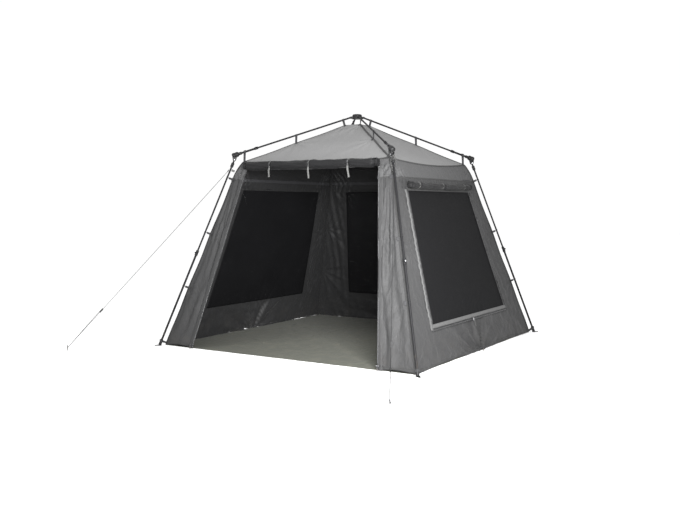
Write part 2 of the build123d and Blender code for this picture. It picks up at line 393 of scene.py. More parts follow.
@dataclass(frozen=True)
class Webbing(Coat):
    """Woven tape with a diagonal rib, selvedges and a row of stitches along each edge.

    Attributes:
        stitch: linear thread colour.
        width: the tape's width in metres.
    """

    stitch: tuple[float, float, float]
    width: float = 0.02

    def make(self) -> bpy.types.Material:
        """Build the material."""
        bench = Bench(self.name)
        across, along = bench.cloth_lay()
        rib = (along * 2600.0 + across.size() * 1900.0).sine() * 0.5 + 0.5
        edge = across.size() * (2.0 / self.width)
        row = ((edge - 0.72).size() < 0.075) * ((along / 0.0045).fraction() < 0.68)
        point = bench.place()
        fade = bench.cloud(point, 14.0, 4.0, 0.6)
        fuzz = bench.cloud(point, 900.0, 2.0, 0.6)
        base = bench.shade(self.colour, rib * 0.28 + fade * 0.26 + fuzz * 0.10 + 0.66)
        colour = bench.blend(row, base, self.stitch)
        height = rib * 0.5 + row * 0.9 - edge.rise(0.88, 1.0) * 0.5
        normal = bench.raise_by(height, 0.0006, 0.7)
        return bench.wire(Base_Color=colour, Roughness=fade * 0.15 + 0.68, Normal=normal,
                          Sheen_Weight=0.03, Specular_IOR_Level=0.16)


@dataclass(frozen=True)
class PoleCoat(Coat):
    """Black powder coat on steel tube, worn bright in fine scratches along it.

    Attributes:
        wear: how much bare metal shows.
    """

    wear: float = 0.5

    def make(self) -> bpy.types.Material:
        """Build the material."""
        bench = Bench(self.name)
        point = bench.place()
        peel = bench.cloud(point, 900.0, 3.0, 0.5)
        patches = bench.cloud(point, 9.0, 4.0, 0.65)
        lines = bench.cloud(bench.scaled(point, (460.0, 460.0, 28.0)), 1.0, 3.0, 0.6)
        bare = lines.rise(0.69, 0.74) * patches.rise(0.50, 0.68) * self.wear
        dusty = bench.cloud(point, 30.0, 4.0, 0.6)
        up = bench.height(point)
        mud = (1.0 - up.rise(0.0, 0.22)) * dusty.rise(0.45, 0.7)
        colour = bench.blend(bare, bench.shade(self.colour, patches * 0.5 + 0.75), (0.46, 0.46, 0.47))
        colour = bench.blend(mud * 0.35, colour, (0.15, 0.12, 0.09))
        rough = patches * 0.14 + dusty * 0.10 + mud * 0.25 + 0.36
        normal = bench.raise_by(peel - bare * 1.5, 0.00025, 0.5)
        return bench.wire(Base_Color=colour, Metallic=bare, Roughness=rough, Normal=normal,
                          Specular_IOR_Level=0.12)


@dataclass(frozen=True)
class MouldedPlastic(Coat):
    """Black glass-filled nylon with a spark-eroded grain and scuffed edges.

    Attributes:
        rough: roughness.
    """

    rough: float = 0.46

    def make(self) -> bpy.types.Material:
        """Build the material."""
        bench = Bench(self.name)
        point = bench.place()
        grain = bench.cloud(point, 1500.0, 3.0, 0.6)
        flow = bench.cloud(point, 22.0, 4.0, 0.6)
        scuffs = bench.cloud(bench.scaled(point, (1.0, 1.0, 5.0)), 60.0, 5.0, 0.7).rise(0.60, 0.72)
        colour = bench.blend(scuffs * 0.45, bench.shade(self.colour, flow * 0.7 + 0.65),
                             tuple(3.2 * c + 0.015 for c in self.colour))
        rough = flow * 0.14 + grain * 0.10 + scuffs * 0.12 + (self.rough - 0.12)
        normal = bench.raise_by(grain * 0.6 + scuffs * 0.6, 0.0003, 0.6)
        return bench.wire(Base_Color=colour, Roughness=rough, Normal=normal, Specular_IOR_Level=0.2)


@dataclass(frozen=True)
class BareMetal(Coat):
    """Drawn or plated metal with long scratches and a dull, stained lower end.

    Attributes:
        rough: roughness.
        soil: height in metres below which soil clings, or zero for none.
    """

    rough: float = 0.32
    soil: float = 0.0

    def make(self) -> bpy.types.Material:
        """Build the material."""
        bench = Bench(self.name)
        point = bench.place()
        spangle = bench.cloud(point, 150.0, 3.0, 0.6)
        lines = bench.cloud(bench.scaled(point, (900.0, 900.0, 40.0)), 1.0, 3.0, 0.6)
        colour = bench.shade(self.colour, spangle * 0.35 + lines * 0.2 + 0.72)
        stain: Value = 0.0
        if self.soil:
            dry = bench.height(point).rise(0.3 * self.soil, self.soil)
            stain = (1.0 - dry) * spangle.rise(0.35, 0.6)
            colour = bench.blend(stain * 0.8, colour, (0.13, 0.10, 0.07))
        rough = spangle * 0.2 + lines * 0.12 + stain * 0.4 + (self.rough - 0.1)
        normal = bench.raise_by(lines + spangle * 0.5, 0.00015, 0.5)
        return bench.wire(Base_Color=colour, Metallic=1.0 - stain, Roughness=rough, Normal=normal)


@dataclass(frozen=True)
class TwistedCord(Coat):
    """Polyester cord with a twist of fibres along each strand."""

    def make(self) -> bpy.types.Material:
        """Build the material."""
        bench = Bench(self.name)
        across, along = bench.cloth_lay()
        fibres = (along * 5200.0 + across * 3000.0).sine() * 0.5 + 0.5
        point = bench.place()
        soiled = bench.cloud(point, 12.0, 4.0, 0.6)
        colour = bench.shade(self.colour, fibres * 0.25 + soiled * 0.35 + 0.6)
        normal = bench.raise_by(fibres, 0.0003, 0.6)
        return bench.wire(Base_Color=colour, Roughness=soiled * 0.2 + 0.6, Normal=normal,
                          Specular_IOR_Level=0.2)


@dataclass(frozen=True)
class ZipTape(Coat):
    """Black zip: knitted tape with a coil of teeth down its middle.

    Attributes:
        teeth: linear colour of the coil.
    """

    teeth: tuple[float, float, float]

    def make(self) -> bpy.types.Material:
        """Build the material."""
        bench = Bench(self.name)
        across, along = bench.cloth_lay()
        middle = across.size() < 0.0035
        tooth = ((along / 0.0016).fraction() < 0.62) * middle
        knit = (along * 4200.0).sine() * (across * 5200.0).sine() * 0.5 + 0.5
        point = bench.place()
        fade = bench.cloud(point, 20.0, 4.0, 0.6)
        colour = bench.blend(tooth, bench.shade(self.colour, knit * 0.5 + fade * 0.4 + 0.55), self.teeth)
        normal = bench.raise_by(tooth + knit * 0.2, 0.0008, 0.8)
        return bench.wire(Base_Color=colour, Roughness=fade * 0.1 + 0.6 - tooth * 0.28, Normal=normal)


class Finish(Enum):
    """The tent's finishes, each built once on first use."""

    ROOF = TentCloth("roof_cloth", (0.150, 0.150, 0.150), grid=0.006)
    WALL = TentCloth("wall_cloth", (0.032, 0.032, 0.0325), grid=0.006, creases=0.009, crown=1.75)
    # The inner face of walls and roof: a darker copy of the tent cloth, painted shade for the inside of the
    # tent.
    INNER = TentCloth("inner_painted_shade", (0.018, 0.018, 0.0185), rough=0.55, grime=0.05)
    LINING = TentCloth("band_lining", (0.030, 0.030, 0.032), grime=0.0)
    FLAP = TentCloth("flap_cloth", (0.080, 0.080, 0.080))
    COVER = TentCloth("cover_cloth", (0.008, 0.008, 0.0084), creases=0.006)
    DOOR = TentCloth("door_cloth", (0.006, 0.006, 0.0064), creases=0.006)
    GROUND = TentCloth("ground_sheet", (0.082, 0.085, 0.070), weave=0.003, grid=0.012, rough=0.5,
                       grime=0.25, creases=0.005)
    NET = NetCloth("window_net", (0.0055, 0.0055, 0.006))
    DARK_WEB = Webbing("dark_webbing", (0.030, 0.030, 0.032), (0.06, 0.06, 0.06))
    PALE_WEB = Webbing("pale_webbing", (0.095, 0.095, 0.093), (0.2, 0.2, 0.19))
    SEAM = Webbing("seam_tape", (0.030, 0.030, 0.030), (0.034, 0.034, 0.034), width=0.018)
    POLE = PoleCoat("pole_coat", (0.008, 0.008, 0.0088))
    PLASTIC = MouldedPlastic("frame_plastic", (0.009, 0.009, 0.0095))
    RUNNER = MouldedPlastic("runner_plastic", (0.03, 0.03, 0.031), rough=0.4)
    BUTTON = BareMetal("button_metal", (0.62, 0.63, 0.65), rough=0.28)
    ZIP_METAL = BareMetal("zip_metal", (0.33, 0.33, 0.34), rough=0.34)
    PEG = BareMetal("peg_metal", (0.10, 0.10, 0.102), rough=0.36, soil=0.03)
    CORD = TwistedCord("guy_cord", (0.012, 0.012, 0.0125))
    ZIP = ZipTape("zip_tape", (0.009, 0.009, 0.0095), (0.05, 0.05, 0.052))

    @property
    def material(self) -> bpy.types.Material:
        """The built material."""
        found = bpy.data.materials.get(f"{self.value.name}_finish")
        return found if found is not None else self.value.make()


# ------------------------------------------------------------------ lines of the tent


class Corner(Enum):
    """The four corners: body suffix and bearing in degrees."""

    FRONT_LEFT = ("front_left", -135.0)
    FRONT_RIGHT = ("front_right", -45.0)
    BACK_RIGHT = ("back_right", 45.0)
    BACK_LEFT = ("back_left", 135.0)

    @property
    def label(self) -> str:
        """The corner's name."""
        return self.value[0]

    @property
    def out(self) -> Vector:
        """The outward direction on the ground."""
        turn = math.radians(self.value[1])
        return Vector((math.cos(turn), math.sin(turn), 0.0))

    @property
    def across(self) -> Vector:
        """The level direction square to the corner's upright plane."""
        return self.out.cross(Vector((0, 0, 1)))

    def at(self, radius: float, height: float) -> Vector:
        """A point of the corner's upright plane."""
        return self.out * radius + Vector((0, 0, height))


class Side(Enum):
    """The four sides: name, bearing in degrees and the corner whose pole gathers it."""

    FRONT = ("front", -90.0, Corner.FRONT_LEFT)
    RIGHT = ("right", 0.0, Corner.FRONT_RIGHT)
    BACK = ("back", 90.0, Corner.BACK_RIGHT)
    LEFT = ("left", 180.0, Corner.BACK_LEFT)

    @property
    def label(self) -> str:
        """The side's name."""
        return self.value[0]

    @property
    def corner(self) -> Corner:
        """The corner whose pole gathers it."""
        return self.value[2]

    @property
    def keeper(self) -> str:
        """The suffix of the bodies that carry this side."""
        return self.corner.label

    @property
    def out(self) -> Array:
        """The outward direction."""
        turn = math.radians(self.value[1])
        return np.array((math.cos(turn), math.sin(turn), 0.0))

    @property
    def along(self) -> Array:
        """The level direction along the side; its keeper is at the low end."""
        return np.cross(UP, self.out)

    @property
    def face(self) -> Array:
        """The way the wall's cloth looks: outward and a little up."""
        return self.out * 0.96 + UP * 0.28

    def place(self, x: Array, out: Array, z: Array) -> Array:
        """Points from the side's own coordinates.

        Args:
            x: along the side.
            out: outward from the middle.
            z: height.

        Returns:
            Points in the row frame.
        """
        x, out, z = np.broadcast_arrays(x, out, z)
        return x[..., None] * self.along + out[..., None] * self.out + z[..., None] * UP


@dataclass(frozen=True)
class Lines:
    """Where the frame's lines run, in metres.

    Attributes:
        foot: radius of the feet.
        elbow: radius and height of the elbow pins.
        hub: radius and height of the hub's pins.
        drop: from the roof pole's axis to the elbow pin.
    """

    foot: float = 1.340 * math.sqrt(2)
    elbow: tuple[float, float] = (0.839 * math.sqrt(2), 1.729)
    hub: tuple[float, float] = (0.064, 2.150)
    drop: float = 0.040

    @property
    def leg(self) -> tuple[Vector, Vector, float]:
        """The leg's direction, its outward normal and its length, in the upright plane."""
        run = Vector((self.foot - self.elbow[0], -self.elbow[1]))
        unit = run.normalized()
        return unit, Vector((-unit.y, unit.x)), run.length

    @property
    def roof(self) -> tuple[Vector, Vector, float]:
        """The roof pole's direction, its upward normal and its length, in the upright plane."""
        pitch = math.radians(18.0)
        for _ in range(20):
            end = Vector(self.elbow) + Vector((math.sin(pitch), math.cos(pitch))) * self.drop
            pitch = math.atan2(self.hub[1] - end.y, end.x - self.hub[0])
        run = end - Vector(self.hub)
        unit = run.normalized()
        return unit, Vector((-unit.y, unit.x)), run.length

    def on_leg(self, corner: Corner, along: float, out: float = 0.0) -> Vector:
        """A point beside the leg.

        Args:
            corner: which leg.
            along: distance from the elbow pin.
            out: distance from the axis, away from the canopy.

        Returns:
            The point.
        """
        run, normal, _ = self.leg
        spot = Vector(self.elbow) + run * along + normal * out
        return corner.at(spot.x, spot.y)

    @staticmethod
    def turned(corner: Corner, line: tuple[Vector, Vector, float]) -> tuple[Array, Array, Array]:
        """A pole's three directions in the row frame.

        Args:
            corner: which pole.
            line: the leg's or the roof pole's line.

        Returns:
            Along the pole, square to it in the upright plane, and level across it.
        """
        along, normal = (np.array(corner.out * part.x + Vector((0, 0, part.y))) for part in line[:2])
        return along, normal, np.array(corner.across)

    def on_roof(self, corner: Corner, along: float, up: float = 0.0) -> Vector:
        """A point beside the roof pole.

        Args:
            corner: which pole.
            along: distance from the hub's pin.
            up: distance above the axis.

        Returns:
            The point.
        """
        run, normal, _ = self.roof
        spot = Vector(self.hub) + run * along + normal * up
        return corner.at(spot.x, spot.y)


LINES = Lines()


def unit_of(vectors: Array) -> Array:
    """Vectors made one long."""
    return vectors / np.maximum(np.linalg.norm(vectors, axis=-1, keepdims=True), 1e-12)


def travelled(path: Array) -> Array:
    """The distance along a path at each of its points."""
    return np.concatenate([[0.0], np.cumsum(np.linalg.norm(np.diff(path, axis=0), axis=1))])


def hoop(centre: Array, first: Array, second: Array, radius: float, count: int = 49) -> Array:
    """A closed ring of points.

    Args:
        centre: its middle.
        first: the direction it starts in.
        second: the direction it turns to.
        radius: its radius.
        count: how many points.

    Returns:
        The points.
    """
    turn = np.linspace(0, math.tau, count)
    return centre + (np.cos(turn)[:, None] * first + np.sin(turn)[:, None] * second) * radius


def slack(value: Array, holds: Sequence[float]) -> Array:
    """How far cloth hangs in between the places that hold it.

    Args:
        value: where, on the scale of the holds.
        holds: the places that hold it, in order.

    Returns:
        The distance in metres.
    """
    value = np.asarray(value, float)
    total = np.zeros(value.shape)
    for low, high in zip(holds, holds[1:]):
        inside = (value > low) & (value < high)
        total = total + inside * 0.004 * np.sin(math.pi * (value - low) / (high - low)) ** 2
    return total


def smooth(value: Array, low: float, high: float) -> Array:
    """A smooth step from 0 at low to 1 at high."""
    share = np.clip((np.asarray(value, float) - low) / (high - low), 0.0, 1.0)
    return share * share * (3.0 - 2.0 * share)


def ripple(x: Array, y: Array, seed: int, scale: float, layers: int = 5) -> Array:
    """Smooth uneven waves from about -1 to 1.

    Args:
        x: first coordinate in metres.
        y: second coordinate in metres.
        seed: picks the pattern.
        scale: waves in one metre.
        layers: how many waves of each octave are summed.

    Returns:
        The height of the waves.
    """
    rng = np.random.default_rng(seed)
    total = np.zeros(np.broadcast(x, y).shape)
    for octave in range(3):
        pitch = scale * 2.0 ** octave * 2 * math.pi
        for _ in range(layers):
            turn, phase, stretch = rng.uniform(0, math.tau), rng.uniform(0, math.tau), rng.uniform(0.7, 1.3)
            total = total + np.sin((x * math.cos(turn) + y * math.sin(turn)) * pitch * stretch + phase) / (
                layers ** 0.5 * 1.9 ** octave)
    return total * 0.75


# ------------------------------------------------------------------ mesh making


class Workshop:
    """Turns arrays of points into objects."""

    @staticmethod
    def build(name: str, points: Array, faces: Iterable[Sequence[int]], finish: Finish,
              lay: Optional[Array] = None, soft: bool = True) -> bpy.types.Object:
        """Make one object.

        Args:
            name: its name.
            points: its vertices.
            faces: its polygons.
            finish: its finish.
            lay: flat cloth coordinates for each vertex, in metres.
            soft: whether it is shaded smooth.

        Returns:
            The object.
        """
        mesh = bpy.data.meshes.new(name)
        mesh.from_pydata([tuple(p) for p in np.asarray(points, float)], [], [tuple(f) for f in faces])
        mesh.update()
        if lay is not None:
            layer = mesh.uv_layers.new(name="lay")
            loops = np.zeros(len(mesh.loops), np.int32)
            mesh.loops.foreach_get("vertex_index", loops)
            layer.data.foreach_set("uv", np.asarray(lay, np.float32)[loops].ravel())
        mesh.polygons.foreach_set("use_smooth", [soft] * len(mesh.polygons))
        mesh.materials.append(finish.material)
        made = bpy.data.objects.new(name, mesh)
        bpy.context.scene.collection.objects.link(made)
        return made

    @staticmethod
    def shell(name: str, grid: Array, lay: Array, finish: Finish, thick: float,
              keep: Optional[Array] = None, inner: Optional[Finish] = None) -> bpy.types.Object:
        """Make a closed sheet from a grid of points.

        Args:
            name: its name.
            grid: rows by columns by 3 points of its outer face.
            lay: rows by columns by 2 flat coordinates.
            finish: its finish.
            thick: its thickness in metres, laid inward.
            keep: rows - 1 by columns - 1, which cells hold cloth.
            inner: the finish of its inner face, where that differs.

        Returns:
            The object.
        """
        rows, columns = grid.shape[:2]
        keep = np.ones((rows - 1, columns - 1), bool) if keep is None else keep
        tangent, rise = np.gradient(grid, axis=1), np.gradient(grid, axis=0)
        normal = unit_of(np.cross(tangent, rise))
        count = rows * columns
        points = np.concatenate([grid.reshape(-1, 3), (grid - normal * thick).reshape(-1, 3)])
        number = np.arange(count).reshape(rows, columns)
        a, b = number[:-1, :-1][keep], number[:-1, 1:][keep]
        d, c = number[1:, :-1][keep], number[1:, 1:][keep]
        faces = [np.stack([a, b, c, d], 1), np.stack([d, c, b, a], 1) + count]
        padded = np.pad(keep, 1)
        inside = padded[1:-1, 1:-1]
        for ends, other in (((a, b), padded[:-2, 1:-1]), ((c, d), padded[2:, 1:-1]),
                            ((d, a), padded[1:-1, :-2]), ((b, c), padded[1:-1, 2:])):
            rim = ~other[inside]
            first, second = ends[0][rim], ends[1][rim]
            faces.append(np.stack([second, first, first + count, second + count], 1))
        faces = np.concatenate(faces)
        used = np.unique(faces)
        index = np.zeros(2 * count, int)
        index[used] = np.arange(len(used))
        flat = np.concatenate([lay.reshape(-1, 2)] * 2)
        made = Workshop.build(name, points[used], index[faces], finish, flat[used])
        if inner is not None:
            made.data.materials.append(inner.material)
            cells = int(keep.sum())
            which = np.zeros(len(made.data.polygons), np.int32)
            which[cells:2 * cells] = 1
            made.data.polygons.foreach_set("material_index", which)
        return made

    @staticmethod
    def tape(name: str, path: Array, facing: Array, width: float, finish: Finish,
             thick: float = 0.0012, crown: float = 0.0) -> bpy.types.Object:
        """Make a flat strap or binding along a path.

        Args:
            name: its name.
            path: the points it follows.
            facing: the direction that its face looks, for each point.
            width: its width in metres.
            finish: its finish.
            thick: its thickness in metres.
            crown: how far its middle stands above its edges.

        Returns:
            The object.
        """
        path, facing = np.asarray(path, float), np.asarray(facing, float)
        facing = np.broadcast_to(facing, path.shape)
        run = unit_of(np.gradient(path, axis=0))
        side = unit_of(np.cross(run, facing))
        up = np.cross(side, run)
        steps = travelled(path)
        shares = np.linspace(-0.5, 0.5, 5)
        grid = np.stack([path + side * (share * width) + up * (thick + crown * (1 - 4 * share * share))
                         for share in shares], 1)
        lay = np.stack([np.broadcast_to(shares * width, (len(path), 5)),
                        np.broadcast_to(steps[:, None], (len(path), 5))], 2)
        return Workshop.shell(name, grid, lay, finish, thick)

    @staticmethod
    def tube(name: str, path: Array, radius: Union[float, Array], finish: Finish, around: int = 16,
             shape: Optional[Callable[[Array, Array], Array]] = None) -> bpy.types.Object:
        """Make a round or lobed bar along a path, closed at both ends.

        Args:
            name: its name.
            path: the points it follows.
            radius: its radius, one or one for each point.
            finish: its finish.
            around: how many points go round it.
            shape: gives a factor on the radius from the angle and the distance along.

        Returns:
            The object.
        """
        path = np.asarray(path, float)
        run = unit_of(np.gradient(path, axis=0))
        helper = UP if abs(run[0][2]) < 0.9 else np.array((1.0, 0.0, 0.0))
        frames = []
        side = np.cross(helper, run[0])
        for ahead in run:
            side = unit_of(side - ahead * side.dot(ahead))
            frames.append((side, np.cross(ahead, side)))
        steps = travelled(path)
        turn = np.linspace(0, math.tau, around, endpoint=False)
        sizes = np.broadcast_to(radius, (len(path),))
        rings, lay = [], []
        for spot, (first, second), size, step in zip(path, frames, sizes, steps):
            factor = np.ones(around) if shape is None else shape(turn, np.full(around, step))
            reach = (size * factor)[:, None]
            rings.append(spot + (first * np.cos(turn)[:, None] + second * np.sin(turn)[:, None]) * reach)
            lay.append(np.stack([turn * size, np.full(around, step)], 1))
        points = np.concatenate([*rings, path[:1], path[-1:]])
        flat = np.concatenate([*lay, [[0.0, 0.0]], [[0.0, steps[-1]]]])
        faces = Workshop.skin(len(path), around)
        last = (len(path) - 1) * around
        for k in range(around):
            n = (k + 1) % around
            faces.append((n, k, len(points) - 2))
            faces.append((last + k, last + n, len(points) - 1))
        return Workshop.build(name, points, faces, finish, flat)

    @staticmethod
    def skin(rows: int, around: int) -> list[tuple[int, ...]]:
        """The faces between rings of points.

        Args:
            rows: how many rings.
            around: points in each ring.

        Returns:
            The faces.
        """
        return [(row * around + k, row * around + (k + 1) % around, (row + 1) * around + (k + 1) % around,
                 (row + 1) * around + k) for row in range(rows - 1) for k in range(around)]

    @staticmethod
    def lofted(name: str, rings: Sequence[Array], finish: Finish, soft: bool = True) -> bpy.types.Object:
        """Make a closed solid from rings of points.

        Args:
            name: its name.
            rings: the rings, from one end to the other.
            finish: its finish.
            soft: whether it is shaded smooth.

        Returns:
            The object.
        """
        rows, around = len(rings), len(rings[0])
        ends = [tuple(range(around))[::-1], tuple(range((rows - 1) * around, rows * around))]
        faces = ends + Workshop.skin(rows, around)
        return Workshop.build(name, np.concatenate(rings), faces, finish, soft=soft)

    @staticmethod
    def joined(name: str, parts: Sequence[bpy.types.Object]) -> bpy.types.Object:
        """Join objects into one.

        Args:
            name: the new name.
            parts: what is joined.

        Returns:
            The object.
        """
        with bpy.context.temp_override(active_object=parts[0], selected_editable_objects=list(parts),
                                       object=parts[0], selected_objects=list(parts)):
            bpy.ops.object.join()
        parts[0].name = name
        parts[0].data.name = name
        return parts[0]


# ------------------------------------------------------------------ canopy


@dataclass
class Canopy:
    """The cloth tent: its shape, and the bodies each side rides on.

    Attributes:
        apex: half width and height of the flat top.
        eave: half width and height of the eave seam.
        band: the two guide points of the curved shoulder.
        top: half width and height of the flat wall's upper seam.
        foot: half width and height of the hem.
        holds: heights at which straps hold the wall's corners.
        roof_holds: shares of the ridge at which straps hold it.
        window: half width at the head, height of the head, half width at the sill, its height.
        door: half width at the head, height of the head, half width at the ground.
        cloth: thickness.
        dip: how far the eave hangs at the middle of a side.
        folded: share of its width that the cloth keeps when it is gathered; not used.
        sewn: what is sewn to each panel, by the panel's name.
    """

    apex: tuple[float, float] = (0.080, 2.078)
    eave: tuple[float, float] = (0.783, 1.710)
    band: tuple[tuple[float, float], ...] = ((0.8405, 1.5960), (0.8160, 1.6600))
    top: tuple[float, float] = (0.854, 1.542)
    foot: tuple[float, float] = (1.301, 0.020)
    holds: tuple[float, ...] = (0.020, 0.553, 1.055, 1.565)
    roof_holds: tuple[float, ...] = (0.0, 0.489, 1.0)
    window: tuple[float, float, float, float] = (0.650, 1.440, 0.815, 0.312)
    door: tuple[float, float, float] = (0.700, 1.650, 0.968)
    cloth: float = 0.0012
    dip: float = 0.036
    folded: float = 0.045
    sewn: dict[str, list] = field(default_factory=dict)

    # -- shape

    def profile(self, t: Array) -> tuple[Array, Array]:
        """The wall's section: 0 is the hem, 1 the upper seam, 2 the eave.

        Args:
            t: where on the section.

        Returns:
            Distance out and height.
        """
        t = np.asarray(t, float)
        flat, bend = np.clip(t, -0.05, 1.0), np.clip(t - 1.0, 0.0, 1.0)
        out = self.foot[0] + (self.top[0] - self.foot[0]) * flat
        up = self.foot[1] + (self.top[1] - self.foot[1]) * flat
        knots = (self.top, *self.band, self.eave)
        weights = ((1 - bend) ** 3, 3 * bend * (1 - bend) ** 2, 3 * bend ** 2 * (1 - bend), bend ** 3)
        out = out + sum(w * (k[0] - self.top[0]) for w, k in zip(weights, knots))
        up = up + sum(w * (k[1] - self.top[1]) for w, k in zip(weights, knots))
        return out, up

    def share_at(self, z: Array) -> Array:
        """The place on the wall's section at a height."""
        table = np.linspace(-0.05, 2.0, 800)
        return np.interp(z, self.profile(table)[1], table)

    def scallop(self, z: Array) -> Array:
        """How far a corner hangs in between two straps."""
        return slack(z, self.holds)

    def window_half(self, z: Array) -> Array:
        """Half the window's width at a height."""
        head, top, sill, low = self.window
        return head + (top - np.asarray(z, float)) * (sill - head) / (top - low)

    def door_half(self, z: Array) -> Array:
        """Half the doorway's width at a height."""
        head, top, sill = self.door
        return head + (top - np.asarray(z, float)) * (sill - head) / top

    def hem(self, side: Side, u: Array) -> Array:
        """How far the hem rises between its pegs."""
        u = np.abs(np.asarray(u, float))
        if side is Side.FRONT:
            start = 0.745
            return 0.010 * np.sin(math.pi * np.clip((u - start) / (1 - start), 0, 1)) ** 2 - 0.010
        if side is Side.RIGHT:
            return 0.014 * np.sin(math.pi * u) ** 2 - 0.018
        return np.full(u.shape, -0.0185)

    def crease(self, side: Side, x: Array, z: Array) -> Array:
        """How far the wall's cloth stands out of its plane through pulls and folds."""
        seed = 11 + 7 * list(Side).index(side)
        head, top, sill, low = self.window
        broad, fine = 0.0060, 0.0026
        total = broad * ripple(x, z, seed, 0.55) + fine * ripple(x, z * 1.4, seed + 1, 2.6)
        for end in (-1.0, 1.0):
            for number, height in enumerate(self.holds):
                spot = float(self.profile(self.share_at(height))[0]) * end
                r, turn = np.hypot(x - spot, z - height), np.arctan2(z - height, (spot - x) * end)
                rays = np.sin(11.0 * turn + number * 1.7 + seed) + 0.5 * np.sin(23.0 * turn + seed)
                total = total + 0.0090 * np.exp(-r / 0.24) * smooth(r, 0.0, 0.07) * rays
            spot, height = 0.785 * end, 1.690
            toward = unit_of(np.array((head * end - spot, top - height)))
            run = (x - spot) * toward[0] + (z - height) * toward[1]
            cross = (x - spot) * -toward[1] + (z - height) * toward[0]
            span = smooth(run, 0.0, 0.06) * (1 - smooth(run, 0.30, 0.62))
            total = total + 0.0105 * span * np.exp(-(cross / 0.085) ** 2) * np.cos(
                cross * 118.0 + 9.0 * run + seed)
            run = np.abs(x - spot * 1.18)
            drift = 4.5 * ripple(x * 0.6, z * 0.35, seed + 3, 1.2)
            total = total + 0.0085 * np.exp(-(run / 0.17) ** 2) * np.sin(
                x * 62.0 + z * end * 9.0 + drift) * (0.35 + 0.65 * smooth(z, 0.1, 1.2))
        if side is not Side.FRONT:
            r, turn = np.hypot(x, z - 0.02), np.arctan2(x, z + 0.03)
            rays = np.cos(9.0 * turn + 0.3 * seed) + 0.6 * np.cos(17.0 * turn + seed)
            total = total + 0.0230 * np.exp(-r / 0.34) * smooth(r, 0.0, 0.06) * rays
            sharp = 1.0 - 2.0 * np.abs(np.sin(12.0 * turn + 1.3 * np.sin(3.0 * turn + seed)))
            total = total + 0.0150 * np.exp(-r / 0.60) * smooth(r, 0.03, 0.16) * sharp
            under = 1.0 - smooth(z, low - 0.12, low + 0.02)
            total = total + 0.0042 * under * ripple(x, z * 1.2, seed + 5, 4.5)
            edge = np.abs(x) - self.window_half(z)
            band = np.exp(-(edge / 0.045) ** 2) * smooth(z, low - 0.06, low + 0.05) * (
                1 - smooth(z, top - 0.05, top + 0.05))
            total = total + 0.0030 * band * np.sin(z * 92.0 + 1.4 * np.sin(z * 17.0 + seed))
            sill_band = np.exp(-((z - low + 0.02) / 0.05) ** 2) * (np.abs(x) < sill)
            frame_edge = np.maximum(edge, np.maximum(low - z, z - top))
            total = total * (0.10 + 0.90 * smooth(frame_edge, 0.0, 0.075)) * (frame_edge > -0.5)
            total = total + 0.0016 * sill_band * np.sin(x * 61.0 + 2.0 * np.sin(x * 7.0 + seed))
        else:
            fold = np.abs(np.abs(x) - 1.02 + (z - 0.3) * 0.26)
            total = total + 0.016 * np.exp(-(fold / 0.030) ** 2) * (1 - smooth(z, 1.1, 1.6))
            r, turn = np.hypot(np.abs(x) - 0.80, z - 1.66), np.arctan2(np.abs(x) - 0.80, 1.66 - z)
            drift = 2.6 * ripple(x * 0.5, z * 0.3, seed + 4, 1.0)
            fan = np.sin(74.0 * turn + drift) + 0.45 * np.sin(41.0 * turn + 2.0 * drift)
            total = total + 0.0105 * fan * smooth(r, 0.08, 0.55) * (1 - smooth(r, 1.25, 1.70))
            total = total + 0.010 * np.sin((np.abs(x) + z * 0.27) * 52.0 + drift) * (
                1 - smooth(z, 0.7, 1.5)) * smooth(z, 0.02, 0.3)
            shut = smooth(np.abs(x) - self.door_half(z), 0.0, 0.085)
            total = total * (0.12 + 0.88 * shut)
        return total

    def wall(self, side: Side, u: Array, t: Array, lift: float = 0.0) -> Array:
        """Points of a wall's outer face.

        Args:
            side: which wall.
            u: from -1 at its keeper's corner to 1.
            t: from 0 at the hem to 2 at the eave.
            lift: distance off the face.

        Returns:
            The points.
        """
        u, t = np.broadcast_arrays(np.asarray(u, float), np.asarray(t, float))
        out, up = self.profile(t)
        ahead, higher = self.profile(t + 0.004)
        nose = np.hypot(ahead - out, higher - up)
        nose = np.where(nose < 1e-9, 1.0, nose)
        lean_out, lean_up = (higher - up) / nose, -(ahead - out) / nose
        lean_out, lean_up = np.where(t > 1.99, 0.475, lean_out), np.where(t > 1.99, 0.88, lean_up)
        cut = self.scallop(up)
        x = u * (out - cut)
        free = 1.0 - np.abs(u) ** 14
        hollow = -0.013 * (1 - u * u) * np.sin(math.pi * np.clip(t, 0, 1))
        push = free * (hollow + self.crease(side, x, up) * (1 - smooth(t, 1.5, 1.96))) + lift
        reach = out - cut * np.abs(u) ** 6 + push * lean_out
        height = up + push * lean_up
        height = height - self.dip * (1 - u * u) * smooth(t, 1.0, 2.0)
        height = np.maximum(height + self.hem(side, u) * (1 - smooth(t, 0.0, 0.10)), 0.0008)
        return side.place(x, reach, height)

    def on_wall(self, side: Side, x: Array, z: Array, lift: float = 0.0) -> Array:
        """Points of a wall from a distance along it and a height."""
        t = self.share_at(z)
        out, up = self.profile(t)
        return self.wall(side, np.asarray(x) / (out - self.scallop(up)), t, lift)

